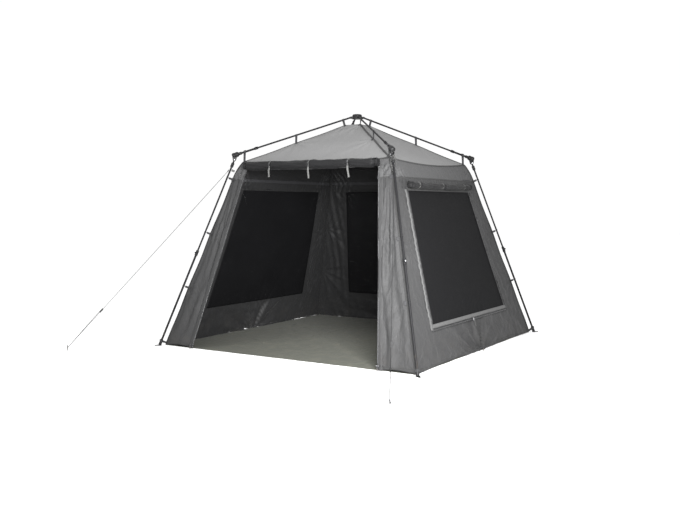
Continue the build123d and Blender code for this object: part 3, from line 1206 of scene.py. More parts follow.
    def roof(self, side: Side, u: Array, v: Array, lift: float = 0.0) -> Array:
        """Points of a roof panel's outer face.

        Args:
            side: which panel.
            u: from -1 at its keeper's ridge to 1.
            v: from 0 at the top to 1 at the eave.
            lift: distance off the face.

        Returns:
            The points.
        """
        u, v = np.broadcast_arrays(np.asarray(u, float), np.asarray(v, float))
        out = self.apex[0] + (self.eave[0] - self.apex[0]) * v
        up = self.apex[1] + (self.eave[1] - self.apex[1]) * v
        ridge = slack(v, self.roof_holds)
        x = u * out
        seed = 51 + 5 * list(Side).index(side)
        free = (1.0 - np.abs(u) ** 10) * smooth(v, 0.0, 0.08) * (1 - smooth(v, 0.93, 1.0))
        broad, fine, slope = 0.0035, 0.0013, 0.795
        wave = broad * ripple(x, v * 0.8, seed, 0.7) + fine * ripple(x, v * 0.8, seed + 1, 3.0)
        for end in (-1.0, 1.0):
            for number, hold in enumerate(self.roof_holds):
                where = self.apex[0] + (self.eave[0] - self.apex[0]) * hold
                r = np.hypot(x - end * where, (v - hold) * slope)
                turn = np.arctan2((v - hold) * slope, (where * end - x) * end)
                wave = wave + 0.0058 * np.exp(-r / 0.19) * smooth(r, 0, 0.06) * np.sin(
                    10.0 * turn + number + seed)
        sag = ridge + 0.020 * (1 - u * u) * np.sin(math.pi * v) - wave * free - lift
        height = up - sag - self.dip * (1 - u * u) * smooth(v, 0.35, 1.0)
        return side.place(x, out + lift * 0.475, height)

    # -- riding on the frame

    def gather_wall(self, piece: bpy.types.Object, side: Side) -> bpy.types.Object:
        """Make a piece of a wall ride on its leg."""
        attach(piece, f"leg_{side.keeper}")
        return self._gather(piece, side, self.top, self.foot)

    def gather_roof(self, piece: bpy.types.Object, side: Side) -> bpy.types.Object:
        """Make a piece of the roof ride on its pole."""
        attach(piece, f"roof_{side.keeper}")
        return self._gather(piece, side, self.apex, self.eave)

    def _gather(self, piece: bpy.types.Object, side: Side, upper: tuple[float, float],
                lower: tuple[float, float]) -> bpy.types.Object:
        """Give a piece its own copy of its mesh; the keeper's corner line is worked out but left unused.

        Args:
            piece: the cloth or what is sewn to it.
            side: which side it belongs to.
            upper: half width and height of the corner line's upper end.
            lower: the same of its lower end.

        Returns:
            The piece.
        """
        line = unit_of((side.out - side.along) * (lower[0] - upper[0]) + UP * (lower[1] - upper[1]))
        axis = side.along - line * float(side.along @ line)
        anchor = side.place(np.array(-upper[0]), np.array(upper[0]), np.array(upper[1]))
        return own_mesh(piece)

    def sew(self, piece: bpy.types.Object, slot: str, side: Side, roof: bool = False) -> bpy.types.Object:
        """Sew a piece to a wall or a roof panel, so that it rides on the same body.

        Args:
            piece: what is sewn on.
            slot: not used.
            side: which side.
            roof: whether it is on the roof panel.

        Returns:
            The piece.
        """
        (self.gather_roof if roof else self.gather_wall)(piece, side)
        self.sewn.setdefault(f"{'roof' if roof else 'wall'}_{side.label}", []).append(piece)
        return piece

    # -- making

    def make_wall(self, side: Side) -> bpy.types.Object:
        """Make one wall with its opening."""
        front = side is Side.FRONT
        half = self.door_half if front else self.window_half
        head = self.door[1] if front else self.window[1]
        sill = 0.0 if front else self.window[3]
        rows = np.concatenate([
            np.linspace(0.0, self.share_at(sill), 40, endpoint=False) if not front else np.zeros(0),
            np.linspace(self.share_at(max(sill, 0.02)), self.share_at(head), 96, endpoint=False),
            np.linspace(self.share_at(head), 2.0, 8 if front else 34)])
        out, up = self.profile(rows)
        reach = out - self.scallop(up)
        edge = np.minimum(half(up), reach * 0.97)
        jamb, opening = 40, 90
        inner, outer = np.linspace(-1, 1, opening + 1), np.linspace(0, 1, jamb + 1)
        middle = inner[None, :] * edge[:, None]
        low = -reach[:, None] + (reach - edge)[:, None] * outer[None, :-1]
        high = edge[:, None] + (reach - edge)[:, None] * outer[None, 1:]
        x = np.concatenate([low, middle, high], 1)
        u = x / reach[:, None]
        t = np.broadcast_to(rows[:, None], u.shape)
        grid = self.wall(side, u, t)
        length = travelled(np.stack([out, up], 1))
        lay = np.stack([x, np.broadcast_to(length[:, None], x.shape)], 2)
        keep = np.ones((len(rows) - 1, x.shape[1] - 1), bool)
        start, end = self.share_at(max(sill, 0.02)), self.share_at(head)
        inside = (rows[:-1] >= start - 1e-6) & (rows[:-1] < end - 1e-6)
        keep[np.ix_(inside, np.arange(jamb, jamb + opening))] = False
        # The inner face takes the darker inner finish: painted shade inside the tent.
        made = Workshop.shell(f"wall_cloth_{side.label}", grid, lay, Finish.WALL, self.cloth, keep,
                              Finish.INNER)
        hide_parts(f"wall_{side.label}", f"shoulder_{side.label}")
        self.gather_wall(made, side)
        crossed = np.cross(grid[1:, 1:] - grid[:-1, :-1], grid[1:, :-1] - grid[:-1, 1:])
        return made

    def make_roof(self, side: Side) -> bpy.types.Object:
        """Make one roof panel."""
        rows, columns = 90, 130
        v, u = np.linspace(0, 1, rows), np.linspace(-1, 1, columns)
        grid = self.roof(side, u[None, :], v[:, None])[::-1]
        out = self.apex[0] + (self.eave[0] - self.apex[0]) * v
        slope = math.hypot(self.eave[0] - self.apex[0], self.apex[1] - self.eave[1])
        lay = np.stack([u[None, :] * out[:, None], np.broadcast_to(-v[:, None] * slope, (rows, columns))], 2)
        # The inner face takes the darker inner finish: painted shade under the roof.
        made = Workshop.shell(f"roof_cloth_{side.label}", grid, lay[::-1], Finish.ROOF, self.cloth,
                              inner=Finish.INNER)
        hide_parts(f"roof_panel_{side.label}")
        self.gather_roof(made, side)
        return made

    def make_cap(self) -> None:
        """Make the flat square at the top."""
        span = np.linspace(-1, 1, 15) * self.apex[0]
        x, y = np.meshgrid(span, span)
        hang = 0.004 * (1 - (x / self.apex[0]) ** 2) * (1 - (y / self.apex[0]) ** 2)
        grid = np.stack([x, y, self.apex[1] - hang], 2)
        cap = Workshop.shell("roof_top", grid, np.stack([x, y], 2), Finish.ROOF, self.cloth)
        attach(cap, "hub")

    def bind(self, name: str, side: Side, path: Array, face: Array, width: float, finish: Finish,
             thick: float = 0.0012, crown: float = 0.0, slot: str = "wall_cloth", roof: bool = False) -> None:
        """Sew a tape to a wall or a roof panel.

        Args:
            name: its name.
            side: which side.
            path: the points it follows.
            face: the direction that its face looks.
            width: its width in metres.
            finish: its finish.
            thick: its thickness in metres.
            crown: how far its middle stands above its edges.
            slot: passed on to sew.
            roof: whether it is on the roof panel.
        """
        self.sew(Workshop.tape(name, path, face, width, finish, thick, crown), slot, side, roof)

    def make_seams(self, side: Side) -> None:
        """Make the tapes along one side's ridge, corner, eave, upper seam and hem."""
        name, face = side.label, side.face
        corner = (side.out - side.along) / math.sqrt(2)
        front = side is Side.FRONT
        self.bind(f"ridge_tape_{name}", side, self.roof(side, -1.0, np.linspace(0.0, 1.0, 90), 0.0002),
                  corner * 0.357 + UP * 0.934, 0.022, Finish.SEAM, crown=0.001, slot="roof_cloth", roof=True)
        self.bind(f"corner_tape_{name}", side, self.wall(side, -1.0, np.linspace(0.005, 1.99, 150), 0.0002),
                  corner, 0.022, Finish.SEAM, crown=0.001)
        reach = 0.995
        self.bind(f"eave_tape_{name}", side, self.wall(side, np.linspace(-reach, reach, 160), 1.985, 0.0004),
                  side.out * 0.75 + UP * 0.66, 0.016, Finish.SEAM)
        open_to = self.door_half(self.top[1]) / self.top[0]
        parts = ((-reach, -open_to), (open_to, reach)) if front else ((-reach, reach),)
        for number, (low, high) in enumerate(parts):
            run = np.linspace(low, high, 30 if front else 160)
            self.bind(f"shoulder_tape_{name}_{number}", side, self.wall(side, run, 1.0, 0.0004), face, 0.014,
                      Finish.SEAM)
            self.bind(f"inner_band_{name}_{number}", side, self.wall(side, run * 0.98, 1.0, -0.0042), -face,
                      0.030, Finish.LINING)
        if front:
            z = np.linspace(0.012, self.door[1], 150)
            for end, word in ((-1, "left"), (1, "right")):
                edge = end * (self.door_half(z) + 0.024)
                self.bind(f"door_hem_{word}", side, self.on_wall(side, edge, z, 0.0022), face, 0.044,
                          Finish.WALL, crown=0.003)
                self.bind(f"door_zip_{word}", side, self.on_wall(side, edge - end * 0.020, z, 0.0050), face,
                          0.014, Finish.ZIP, crown=0.001)
        jamb = 0.748
        spans = ((-reach, -jamb), (jamb, reach)) if front else ((-reach, reach),)
        for number, (low, high) in enumerate(spans):
            run = np.linspace(low, high, 50 if front else 200)
            self.bind(f"hem_tape_{name}_{number}", side, self.wall(side, run, 0.010, 0.0004), face, 0.024,
                      Finish.SEAM)

    def make_window(self, side: Side) -> None:
        """Make one window: net, zips, flaps, rolled cover and its ties, slider and puller."""
        name = side.label
        head, top, sill, low = self.window
        z = np.linspace(low - 0.008, top + 0.008, 80)
        u = np.linspace(-1, 1, 100)
        x = u[None, :] * (self.window_half(z) + 0.008)[:, None]
        grid = self.on_wall(side, x, np.broadcast_to(z[:, None], x.shape), -0.0024)
        slack = 0.006 * (1 - u[None, :] ** 2) * np.sin(math.pi * np.linspace(0, 1, 80))[:, None]
        grid = grid - slack[..., None] * side.out
        lay = np.stack([x, np.broadcast_to(z[:, None], x.shape)], 2)
        net = Workshop.shell(f"window_net_{name}", grid, lay, Finish.NET, 0.0004)
        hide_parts(f"window_mesh_{name}")
        self.gather_wall(net, side)
        face = side.face
        steps = np.linspace(low - 0.03, top, 150)
        for end, word in ((-1, "near"), (1, "far")):
            edge = self.window_half(steps) * end
            self.bind(f"window_zip_{word}_{name}", side, self.on_wall(side, edge, steps, 0.0008), face,
                      0.026, Finish.ZIP, crown=0.0012, slot="window_mesh")
            pucker = self.on_wall(side, edge + end * 0.030, steps, 0.0030)
            wave = 0.0018 * np.sin(steps * 118.0 + 1.5 * np.sin(steps * 21.0))
            pucker = pucker + wave[:, None] * side.out
            self.bind(f"window_flap_{word}_{name}", side, pucker, face, 0.036,
                      Finish.FLAP if end < 0 else Finish.WALL, 0.001, 0.003)
        across = np.linspace(-sill - 0.02, sill + 0.02, 160)
        runs = (("sill_flap", 0.034, Finish.FLAP, 0.003, low - 0.001, "wall_cloth"),
                ("sill_zip", 0.026, Finish.ZIP, 0.0012, low - 0.031, "window_mesh"),
                ("head_tape", 0.030, Finish.SEAM, 0.0006, top + 0.006, "wall_cloth"))
        for word, width, finish, crown, height, slot in runs:
            reach = across * (self.window_half(height) / sill)
            path = self.on_wall(side, reach, np.full(reach.shape, height), 0.0012)
            self.bind(f"{word}_{name}", side, path, face, width, finish, 0.001, crown, slot)
        Roll(side, "window_cover", 0.032, 0.655, 1.480, 0.031, (-0.49, -0.01, 0.47), Finish.COVER,
             "cover_cloth").make(self)
        self.make_slider(side)

    def make_slider(self, side: Side) -> None:
        """Make the zip slider and its tape puller under a window."""
        name, height = side.label, 0.281
        lean = side.out * 0.2816 - UP * 0.9595
        base = self.profile(self.share_at(height))[0] * side.out + UP * height + side.out * 0.0065
        outline = [(-0.006, -0.013), (-0.0035, -0.013), (0.0, -0.0095), (0.0035, -0.013), (0.006, -0.013),
                   (0.0055, 0.004), (0.0035, 0.013), (-0.0035, 0.013), (-0.0055, 0.004)]
        face = side.out * 0.9595 + UP * 0.2816
        layers = ((-0.0032, 0.9), (-0.002, 1.0), (0.002, 1.0), (0.0034, 0.82))
        rings = [np.array([base + side.along * a * size - lean * b * size + face * depth for a, b in outline])
                 for depth, size in layers]
        body = Workshop.lofted(f"slider_{name}", rings, Finish.ZIP_METAL, soft=False)
        drop = np.linspace(0, 1, 24)
        path = base + face * 0.0035 + lean * (0.006 + 0.062 * drop)[:, None] + face * (
            0.0015 * np.sin(drop * 3.1))[:, None]
        puller = Workshop.tape(f"puller_{name}", path, face, 0.009, Finish.PALE_WEB, 0.0014)
        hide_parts(f"zip_slider_{name}")
        for piece in (body, puller):
            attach(piece, f"zip_{name}")
            self._gather(piece, side, self.top, self.foot)


@dataclass
class Roll:
    """A rolled-up cover or door, tied in places and gathered at its ends.

    Attributes:
        side: the side it hangs on.
        node: its CAD node's first word.
        radius: its radius.
        half: half its length.
        height: height of its axis.
        off: distance from the wall's face to its axis.
        ties: where its ties are.
        finish: its cloth.
        slot: its material slot; not used.
    """

    side: Side
    node: str
    radius: float
    half: float
    height: float
    off: float
    ties: tuple[float, ...]
    finish: Finish
    slot: str

    def axis(self, canopy: Canopy, x: Array) -> Array:
        """Points of its axis, which hangs a little between the ties."""
        anchors = np.array((-self.half, *self.ties, self.half))
        nearest = np.min(np.abs(x[:, None] - anchors[None, :]), axis=1)
        drop = 0.006 * smooth(nearest, 0.0, 0.16)
        out = canopy.profile(canopy.share_at(self.height))[0] + self.off
        return self.side.place(x, np.full(x.shape, out), self.height - drop)

    def make(self, canopy: Canopy) -> None:
        """Make the roll, its gathered ends, its ties and the cloth that joins it to the wall.

        Args:
            canopy: the cloth it hangs on.
        """
        name = self.side.label
        x = np.linspace(-self.half, self.half, 260)
        lumps = 0.06 * np.sin(x * 9.0 + 1.0) + 0.05 * np.sin(x * 23.0 + 2.0 * np.sin(x * 7.0))
        size = self.radius * (0.92 + lumps)
        waist, waist_width = 0.24, 0.022
        for tie in self.ties:
            size = size * (1 - waist * np.exp(-((x - tie) / waist_width) ** 2))
        close = self.half - np.abs(x)
        neck, neck_at, neck_width = 0.52, 0.030, 0.016
        size = size * (1 - neck * np.exp(-((close - neck_at) / neck_width) ** 2))
        size = size * (0.55 + 0.45 * smooth(close, -0.004, 0.012))

        def lobes(turn: Array, step: Array) -> Array:
            """The cloth's spiral edge and the folds along the roll."""
            lip = ((turn - 3.9) % math.tau) / math.tau
            folds = 0.05 * np.sin(5 * turn + 11 * step) + 0.04 * np.sin(8 * turn - 23 * step + 1.0)
            return 0.93 + 0.07 * lip + folds

        roll = Workshop.tube(f"{self.node}_roll_{name}", self.axis(canopy, x), size, self.finish, 40, lobes)
        node = self.node if self.node == "door_roll" else f"{self.node}_{name}"
        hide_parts(node)
        canopy.gather_wall(roll, self.side)
        span = np.linspace(-self.half + 0.02, self.half - 0.02, 120)
        axis = self.axis(canopy, span)
        wall = canopy.on_wall(self.side, span, np.full(span.shape, self.height + self.radius * 0.75), 0.0015)
        over = axis + UP * self.radius * 0.90
        rows, bow, width = 7, 0.004, 0.03
        grid = np.stack([wall * (1 - share) + over * share + UP * bow * math.sin(math.pi * share)
                         for share in np.linspace(0, 1, rows)], 0)
        lay = np.stack(np.broadcast_arrays(span[None, :], np.linspace(0, width, rows)[:, None]), 2)
        skirt = Workshop.shell(f"{self.node}_skirt_{name}", grid[::-1], lay[::-1], self.finish, 0.001)
        canopy.gather_wall(skirt, self.side)
        for number, tie in enumerate(self.ties):
            self.make_tie(canopy, number, tie)

    def make_tie(self, canopy: Canopy, number: int, x: float) -> None:
        """Make one tie round the roll, with a toggle.

        Args:
            canopy: the cloth it hangs on.
            number: which tie.
            x: its place along the side.
        """
        middle = self.axis(canopy, np.array([x]))[0]
        turn = np.linspace(-2.6, 2.6, 48)
        reach = self.radius * 0.86
        radial = np.cos(turn)[:, None] * self.side.out + np.sin(turn)[:, None] * UP
        canopy.bind(f"{self.node}_tie_{self.side.label}_{number}", self.side, middle + radial * reach, radial,
                    0.012, Finish.DARK_WEB if self.node == "door_roll" else Finish.PALE_WEB, 0.0014,
                    slot="webbing")
        shares = np.linspace(-1, 1, 9)
        bar = middle + self.side.out * (reach + 0.0045) + self.side.along * (0.014 * shares)[:, None]
        toggle = Workshop.tube(f"{self.node}_toggle_{self.side.label}_{number}", bar,
                               0.0042 * (1 - 0.35 * np.abs(shares) ** 3), Finish.PLASTIC)
        canopy.sew(toggle, "frame_plastic", self.side)


# ------------------------------------------------------------------ rigging


@dataclass
class Rigging:
    """What ties the cloth to the poles, and the tent to the ground.

    Attributes:
        canopy: the cloth.
        pegs: where each guy is pegged, by corner.
        hem_pegs: where the hem is pegged, with the side of each.
        roof_straps: the straps of each ridge: share of the ridge, distance from the hub's pin, loop's radius.
        leg_straps: the straps of each leg: share of the leg's length, and radius of the ring round it.
        tie: the guy's place on the leg, from the elbow pin, and off its axis.
        cord: the guy's radius.
        folded: share of its length that a guy keeps when it is gathered; not used.
    """

    canopy: Canopy
    pegs: dict[Corner, tuple[float, float]] = field(default_factory=lambda: {
        Corner.FRONT_LEFT: (-1.846, -1.978), Corner.FRONT_RIGHT: (1.613, -2.292)})
    hem_pegs: tuple[tuple[Side, float, float], ...] = (
        (Side.FRONT, -0.975, 1.328), (Side.FRONT, 0.975, 1.328), (Side.RIGHT, 0.0, 1.328),
        (Side.BACK, 0.0, 1.328), (Side.LEFT, 0.0, 1.328))
    roof_straps: tuple[tuple[float, float, float], ...] = (
        (0.012, 0.078, 0.0092), (0.489, 0.562, 0.0092), (0.985, 1.082, 0.0150))
    leg_straps: tuple[tuple[float, float], ...] = ((0.095, 0.0102), (0.39, 0.0102), (0.68, 0.0118))
    tie: tuple[float, float] = (0.112, 0.0129)
    cord: float = 0.0020
    folded: float = 0.12

    @staticmethod
    def band(name: str, path: Array, normal: Array, width: float, finish: Finish,
             thick: float = 0.0014) -> bpy.types.Object:
        """Make a strap that loops in a plane.

        Args:
            name: its name.
            path: the points it follows.
            normal: square to the loop; the strap's width lies along it.
            width: its width in metres.
            finish: its finish.
            thick: its thickness in metres.

        Returns:
            The object.
        """
        path = np.asarray(path, float)
        facing = np.cross(np.gradient(path, axis=0), normal)
        if np.sum(facing * (path - path.mean(0))) < 0:
            facing = -facing
        return Workshop.tape(name, path, facing, width, finish, thick)

    @staticmethod
    def hanger(start: Array, centre: Array, across: Array, radius: float, spread: float = 0.0016) -> Array:
        """A strap's line from the cloth, round a tube and back.

        Args:
            start: where it is sewn on.
            centre: the tube's axis.
            across: square to the tube and to the strap.
            radius: of the loop.
            spread: half the distance between its two plies.

        Returns:
            The points.
        """
        start, centre, across = (np.asarray(v, float) for v in (start, centre, across))
        rise = unit_of(centre - start)
        turn = np.linspace(math.radians(-62), math.radians(242), 40)
        arc = centre + np.cos(turn)[:, None] * across * radius + np.sin(turn)[:, None] * rise * radius
        steps = np.linspace(0, 1, 12)[:, None]
        waist = 4 * steps * (1 - steps)
        first = start + across * spread + steps * (arc[0] - start - across * spread)
        last = arc[-1] + steps * (start - across * spread - arc[-1])
        first = first - across * waist * radius * 0.22
        last = last + across * waist * radius * 0.22
        return np.concatenate([first[:-1], arc, last[1:]])

    def hold_roof(self) -> None:
        """Tie each ridge to its roof pole with three short straps."""
        canopy = self.canopy
        for side in Side:
            corner = side.corner
            name = corner.label
            along, _, across = LINES.turned(corner, LINES.roof)
            for number, (share, place, size) in enumerate(self.roof_straps):
                spot = canopy.roof(side, np.array(-1.0), np.array(share))
                path = self.hanger(spot, LINES.on_roof(corner, place), across, size)
                strap = self.band(f"roof_strap_{name}_{number}", path, along, 0.020, Finish.DARK_WEB)
                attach(strap, f"roof_{name}")
                patch = self.patch(f"roof_patch_{name}_{number}", spot,
                                   np.array(corner.out) * 0.357 + UP * 0.934, across, 0.030, 0.044)
                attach(patch, f"roof_{name}")

    def patch(self, name: str, spot: Array, facing: Array, across: Array, wide: float,
              tall: float) -> bpy.types.Object:
        """Make a small sewn-on square of webbing that folds over the corner line.

        Args:
            name: its name.
            spot: its middle.
            facing: the direction it looks.
            across: the direction of its width.
            wide: its width.
            tall: its length.

        Returns:
            The object.
        """
        shares = np.linspace(-0.5, 0.5, 11)
        path = spot + across * (shares * tall)[:, None] + facing * (
            0.0012 - 0.42 * np.abs(shares) * tall)[:, None]
        face = facing + across * (np.tanh(shares * 9.0) * 0.42)[:, None]
        return Workshop.tape(name, path, face, wide, Finish.DARK_WEB, 0.0012)

    def hold_legs(self) -> None:
        """Hook each corner of the walls to its leg in three places."""
        for side in Side:
            corner = side.corner
            name = corner.label
            along, outward, across = LINES.turned(corner, LINES.leg)
            rings = []
            for number, (share, size) in enumerate(self.leg_straps):
                centre = np.array(LINES.on_leg(corner, share * LINES.leg[2]))
                rings.append(Workshop.tube(f"ring_{name}_{number}", hoop(centre, across, outward, size, 41),
                                           0.0019, Finish.PLASTIC, 12))
                neck = centre - outward * np.linspace(size, 0.019, 6)[:, None]
                rings.append(Workshop.tube(f"neck_{name}_{number}", neck,
                                           np.array((0.0022, 0.0030, 0.0036, 0.0036, 0.0044, 0.0030)),
                                           Finish.PLASTIC, 12))
                start = centre - outward * 0.047
                path = self.hanger(start, centre - outward * 0.0215, across, 0.0036, 0.0012)
                strap = self.band(f"leg_strap_{name}_{number}", path, along, 0.019, Finish.DARK_WEB)
                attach(strap, f"leg_{name}")
                patch = self.patch(f"leg_patch_{name}_{number}", start, outward, across, 0.034, 0.052)
                self.canopy.sew(patch, "webbing", side)
            hooks = Workshop.joined(f"leg_hooks_visual_{name}", rings)
            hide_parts(f"leg_hooks_{name}")
            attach(hooks, f"leg_{name}")

    def spline(self, name: str, points: Sequence[Array]) -> Array:
        """Points of the smooth line through a route.

        Args:
            name: the working curve's name.
            points: the route.

        Returns:
            The line's points.
        """
        curve = bpy.data.curves.new(name, "CURVE")
        curve.dimensions = "3D"
        curve.resolution_u = 24
        line = curve.splines.new("NURBS")
        line.points.add(len(points) - 1)
        for spot, point in zip(line.points, points):
            spot.co = (*(float(c) for c in point), 1.0)
        line.order_u = 3
        line.use_endpoint_u = True
        holder = bpy.data.objects.new(name, curve)
        bpy.context.scene.collection.objects.link(holder)
        mesh = bpy.data.meshes.new_from_object(holder)
        found = np.array([v.co for v in mesh.vertices], float)
        bpy.data.objects.remove(holder)
        bpy.data.meshes.remove(mesh)
        bpy.data.curves.remove(curve)
        return found

    def strands(self, name: str, line: Array, radius: float) -> bpy.types.Object:
        """Make a three-strand twisted cord along a line.

        Args:
            name: its name.
            line: the points it follows.
            radius: its radius.

        Returns:
            The object.
        """
        steps = travelled(line)
        count = max(int(steps[-1] / 0.0022), 24)
        even = np.linspace(0, steps[-1], count)
        line = np.stack([np.interp(even, steps, line[:, axis]) for axis in range(3)], 1)
        pitch = 0.022

        def lobes(turn: Array, step: Array) -> Array:
            """Three strands winding round each other."""
            wave = np.cos(3 * (turn - math.tau * step / pitch / 3))
            return 0.86 + 0.14 * np.sqrt(0.5 + 0.5 * wave + 1e-6)

        return Workshop.tube(name, line, radius, Finish.CORD, 12, lobes)

    def make_guys(self) -> None:
        """Make the two guys with their return lines round the pegs, and their runners."""
        for corner, (x, y) in self.pegs.items():
            name = corner.label
            tie = np.array(LINES.on_leg(corner, *self.tie))
            to = np.array((x, y, 0.026))
            unit = unit_of(to - tie)
            end = to - unit * 0.0078
            reach = np.linalg.norm(end - tie)
            sag = np.array((0.0, 0.0, -0.004))
            route = [tie, tie + unit * reach * 0.10 + sag * 0.3, tie + unit * reach * 0.5 + sag,
                     tie + unit * reach * 0.90 + sag * 0.3, end]
            line = self.spline(f"guy_route_{name}", route)
            guy = self.strands(f"guy_{name}", line, self.cord)
            level = unit_of(np.cross(unit, UP))
            above = np.cross(level, unit)
            runner_at = tie + unit * reach * 0.80
            start = runner_at + unit * 0.014 + above * 0.0058
            around = [start, start + unit * 0.05 + above * 0.001, end - unit * 0.05 + level * 0.0058,
                      end - unit * 0.006 + level * 0.0062, end + unit * 0.0085 + level * 0.0062,
                      end + unit * 0.0150 + level * 0.001, end + unit * 0.0105 - level * 0.0055,
                      end - unit * 0.002 - level * 0.0055]
            back_line = self.spline(f"guy_return_route_{name}", around)
            back = self.strands(f"guy_return_{name}", back_line, self.cord)
            knot = self.knot(f"guy_knot_{name}", tie + unit * 0.006, unit, level, above)
            for piece, body in ((guy, f"leg_{name}"), (back, f"leg_{name}")):
                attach(piece, body)
                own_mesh(piece)
            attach(knot, f"leg_{name}")
            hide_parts(f"guy_rope_{name}")
            runner = self.runner(f"runner_{name}", runner_at, unit, level, above)
            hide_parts(f"guy_runner_{name}")
            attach(runner, f"runner_{name}")

    def knot(self, name: str, spot: Array, unit: Array, level: Array, above: Array) -> bpy.types.Object:
        """Make the knot and eye that tie a guy to the ring.

        Args:
            name: its name.
            spot: its middle.
            unit: along the guy.
            level: square to the guy, level.
            above: square to both.

        Returns:
            The object.
        """
        turn = np.linspace(0, 3 * math.tau, 90)
        coil = spot + level * (np.cos(turn) * 0.0033)[:, None] + above * (np.sin(turn) * 0.0033)[:, None] + (
            unit * (turn / math.tau * 0.0030)[:, None])
        loop_turn = np.linspace(0.3, math.tau - 0.3, 30)
        loop = spot - unit * (0.0085 + np.cos(loop_turn) * 0.0065)[:, None] + (
            above * (np.sin(loop_turn) * 0.0052)[:, None])
        return Workshop.joined(name, [Workshop.tube(f"{name}_coil", coil, 0.0015, Finish.CORD, 10),
                                      Workshop.tube(f"{name}_eye", loop, 0.0014, Finish.CORD, 10)])

    def runner(self, name: str, spot: Array, unit: Array, level: Array, above: Array) -> bpy.types.Object:
        """Make a three-hole runner: a waisted bar with raised ends.

        Args:
            name: its name.
            spot: its middle.
            unit: along the guy.
            level: square to the guy, level.
            above: square to both.

        Returns:
            The object.
        """
        turn = np.linspace(0, math.tau, 28, endpoint=False)
        wide_at, tall_at = (np.sign(wave) * np.abs(wave) ** 0.55 for wave in (np.cos(turn), np.sin(turn)))
        rings = []
        for share in np.linspace(-1, 1, 33):
            end = 1 - 0.35 * max(abs(share) - 0.86, 0) / 0.14
            waist = 1 - 0.20 * math.exp(-(share / 0.42) ** 2)
            saddle = 1 - 0.16 * math.exp(-((abs(share) - 0.5) / 0.16) ** 2)
            rings.append(spot + unit * share * 0.022 + wide_at[:, None] * level * 0.0045 * end * waist
                         + tall_at[:, None] * above * 0.0080 * end * saddle)
        return Workshop.lofted(name, rings, Finish.RUNNER)

    def peg_hem(self) -> None:
        """Make the webbing loops that hold the hem to its pegs, and the corner loops to the feet."""
        for number, (side, x, out) in enumerate(self.hem_pegs):
            peg = side.place(np.array(x), np.array(out), np.array(0.0340))
            start = self.canopy.wall(side, np.array(x / self.canopy.foot[0]), np.array(0.012))
            path = self.hanger(start, peg, side.along, 0.0052, 0.013)
            loop = self.band(f"hem_loop_{side.label}_{number}", path, UP + side.out * 0.1, 0.010,
                             Finish.DARK_WEB)
            self.canopy.sew(loop, "webbing", side)
        for side in Side:
            corner = side.corner
            start = self.canopy.wall(side, np.array(-1.0), np.array(0.010))
            foot = LINES.on_leg(corner, LINES.leg[2] - 0.045)
            path = self.hanger(start, foot, np.array(corner.across), 0.0158, 0.004)
            strap = self.band(f"corner_loop_{corner.label}", path, UP, 0.018, Finish.DARK_WEB)
            self.canopy.sew(strap, "webbing", side)

    def door_straps(self) -> None:
        """Make the three pale straps that hang over the rolled door."""
        side = Side.FRONT
        for number, (x, low) in enumerate(((-0.405, 1.560), (0.020, 1.542), (0.425, 1.545))):
            turn = np.linspace(math.radians(128), math.radians(-38), 26)
            axis = side.place(np.array(x), np.array(0.852), np.array(1.669))
            over = axis + (np.cos(turn)[:, None] * side.out + np.sin(turn)[:, None] * UP) * 0.0345
            drop = np.linspace(0, 1, 22)[1:, None]
            fall = side.along * (0.010 * (number - 1)) + UP * (low - over[-1][2]) - side.out * 0.004
            tail = over[-1] + drop * fall + side.out * 0.004 * np.sin(drop * 5.0)
            path = np.concatenate([over, tail])
            strap = self.band(f"door_strap_{number}", path, side.along, 0.016, Finish.PALE_WEB)
            self.canopy.sew(strap, "webbing", side)

    def elbow_hank(self) -> None:
        """Make the spare webbing that hangs in loops under the near elbow, and the pale tabs by the guys."""
        corner = Corner.FRONT_RIGHT
        _, outward, across = LINES.turned(corner, LINES.leg)
        for number, (shift, depth, lean) in enumerate(((0.010, 0.128, 0.004), (0.004, 0.112, -0.006),
                                                       (0.015, 0.094, 0.010))):
            turn = np.linspace(0, math.tau, 60)[:, None]
            top = np.array(LINES.on_leg(corner, 0.018, 0.0160)) + across * (shift - 0.012)
            path = top + across * (np.sin(turn) * 0.011 + lean * np.sin(turn / 2)) - UP * (
                0.5 * depth * (1 - np.cos(turn))) + outward * (0.003 + 0.003 * number)
            loop = self.band(f"hank_{number}", path, outward, 0.009, Finish.PALE_WEB, 0.0012)
            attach(loop, "leg_front_right")
        for corner in self.pegs:
            name = corner.label
            start, reach = (np.array(LINES.on_leg(corner, self.tie[0], off)) for off in (-0.047, -0.016))
            path = start + np.linspace(0, 1, 16)[:, None] * (reach - start) + UP * 0.013
            tab = Workshop.tape(f"guy_tab_{name}", path, np.array(corner.across), 0.020, Finish.PALE_WEB,
                                0.002)
            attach(tab, f"leg_{name}")

    def lay_ground(self) -> None:
        """Lay the ground sheet with its wrinkles and welded hem."""
        half, count = 1.292, 190
        span = np.linspace(-half, half, count)
        x, y = np.meshgrid(span, span)
        edge = np.minimum(half - np.abs(x), half - np.abs(y))
        wave = 0.5 + 0.5 * ripple(x, y, 91, 1.1)
        ridges = np.exp(-(ripple(x, y * 0.6, 92, 0.8) / 0.10) ** 2) * (0.5 + 0.5 * ripple(x, y, 93, 0.7))
        fold = sum(np.exp(-((v - at) / 0.006) ** 2) for v in (x, y) for at in (-0.43, 0.43))
        lift = (0.0022 * np.clip(wave, 0, 1.4) + 0.0062 * np.clip(ridges, 0, 1) + 0.0028 * fold) * smooth(
            edge, 0.0, 0.06) + 0.0030 * np.exp(-(edge / 0.018) ** 2) * (0.6 + 0.4 * np.sin(19 * (x + y)))
        grid = np.stack([x, y, 0.0020 + np.clip(lift, 0, 0.011)], 2)
        sheet = Workshop.shell("ground_cloth", grid, np.stack([x, y], 2), Finish.GROUND, 0.0012)
        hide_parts("ground_sheet")
        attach(sheet, "base")


# ------------------------------------------------------------------ hardware


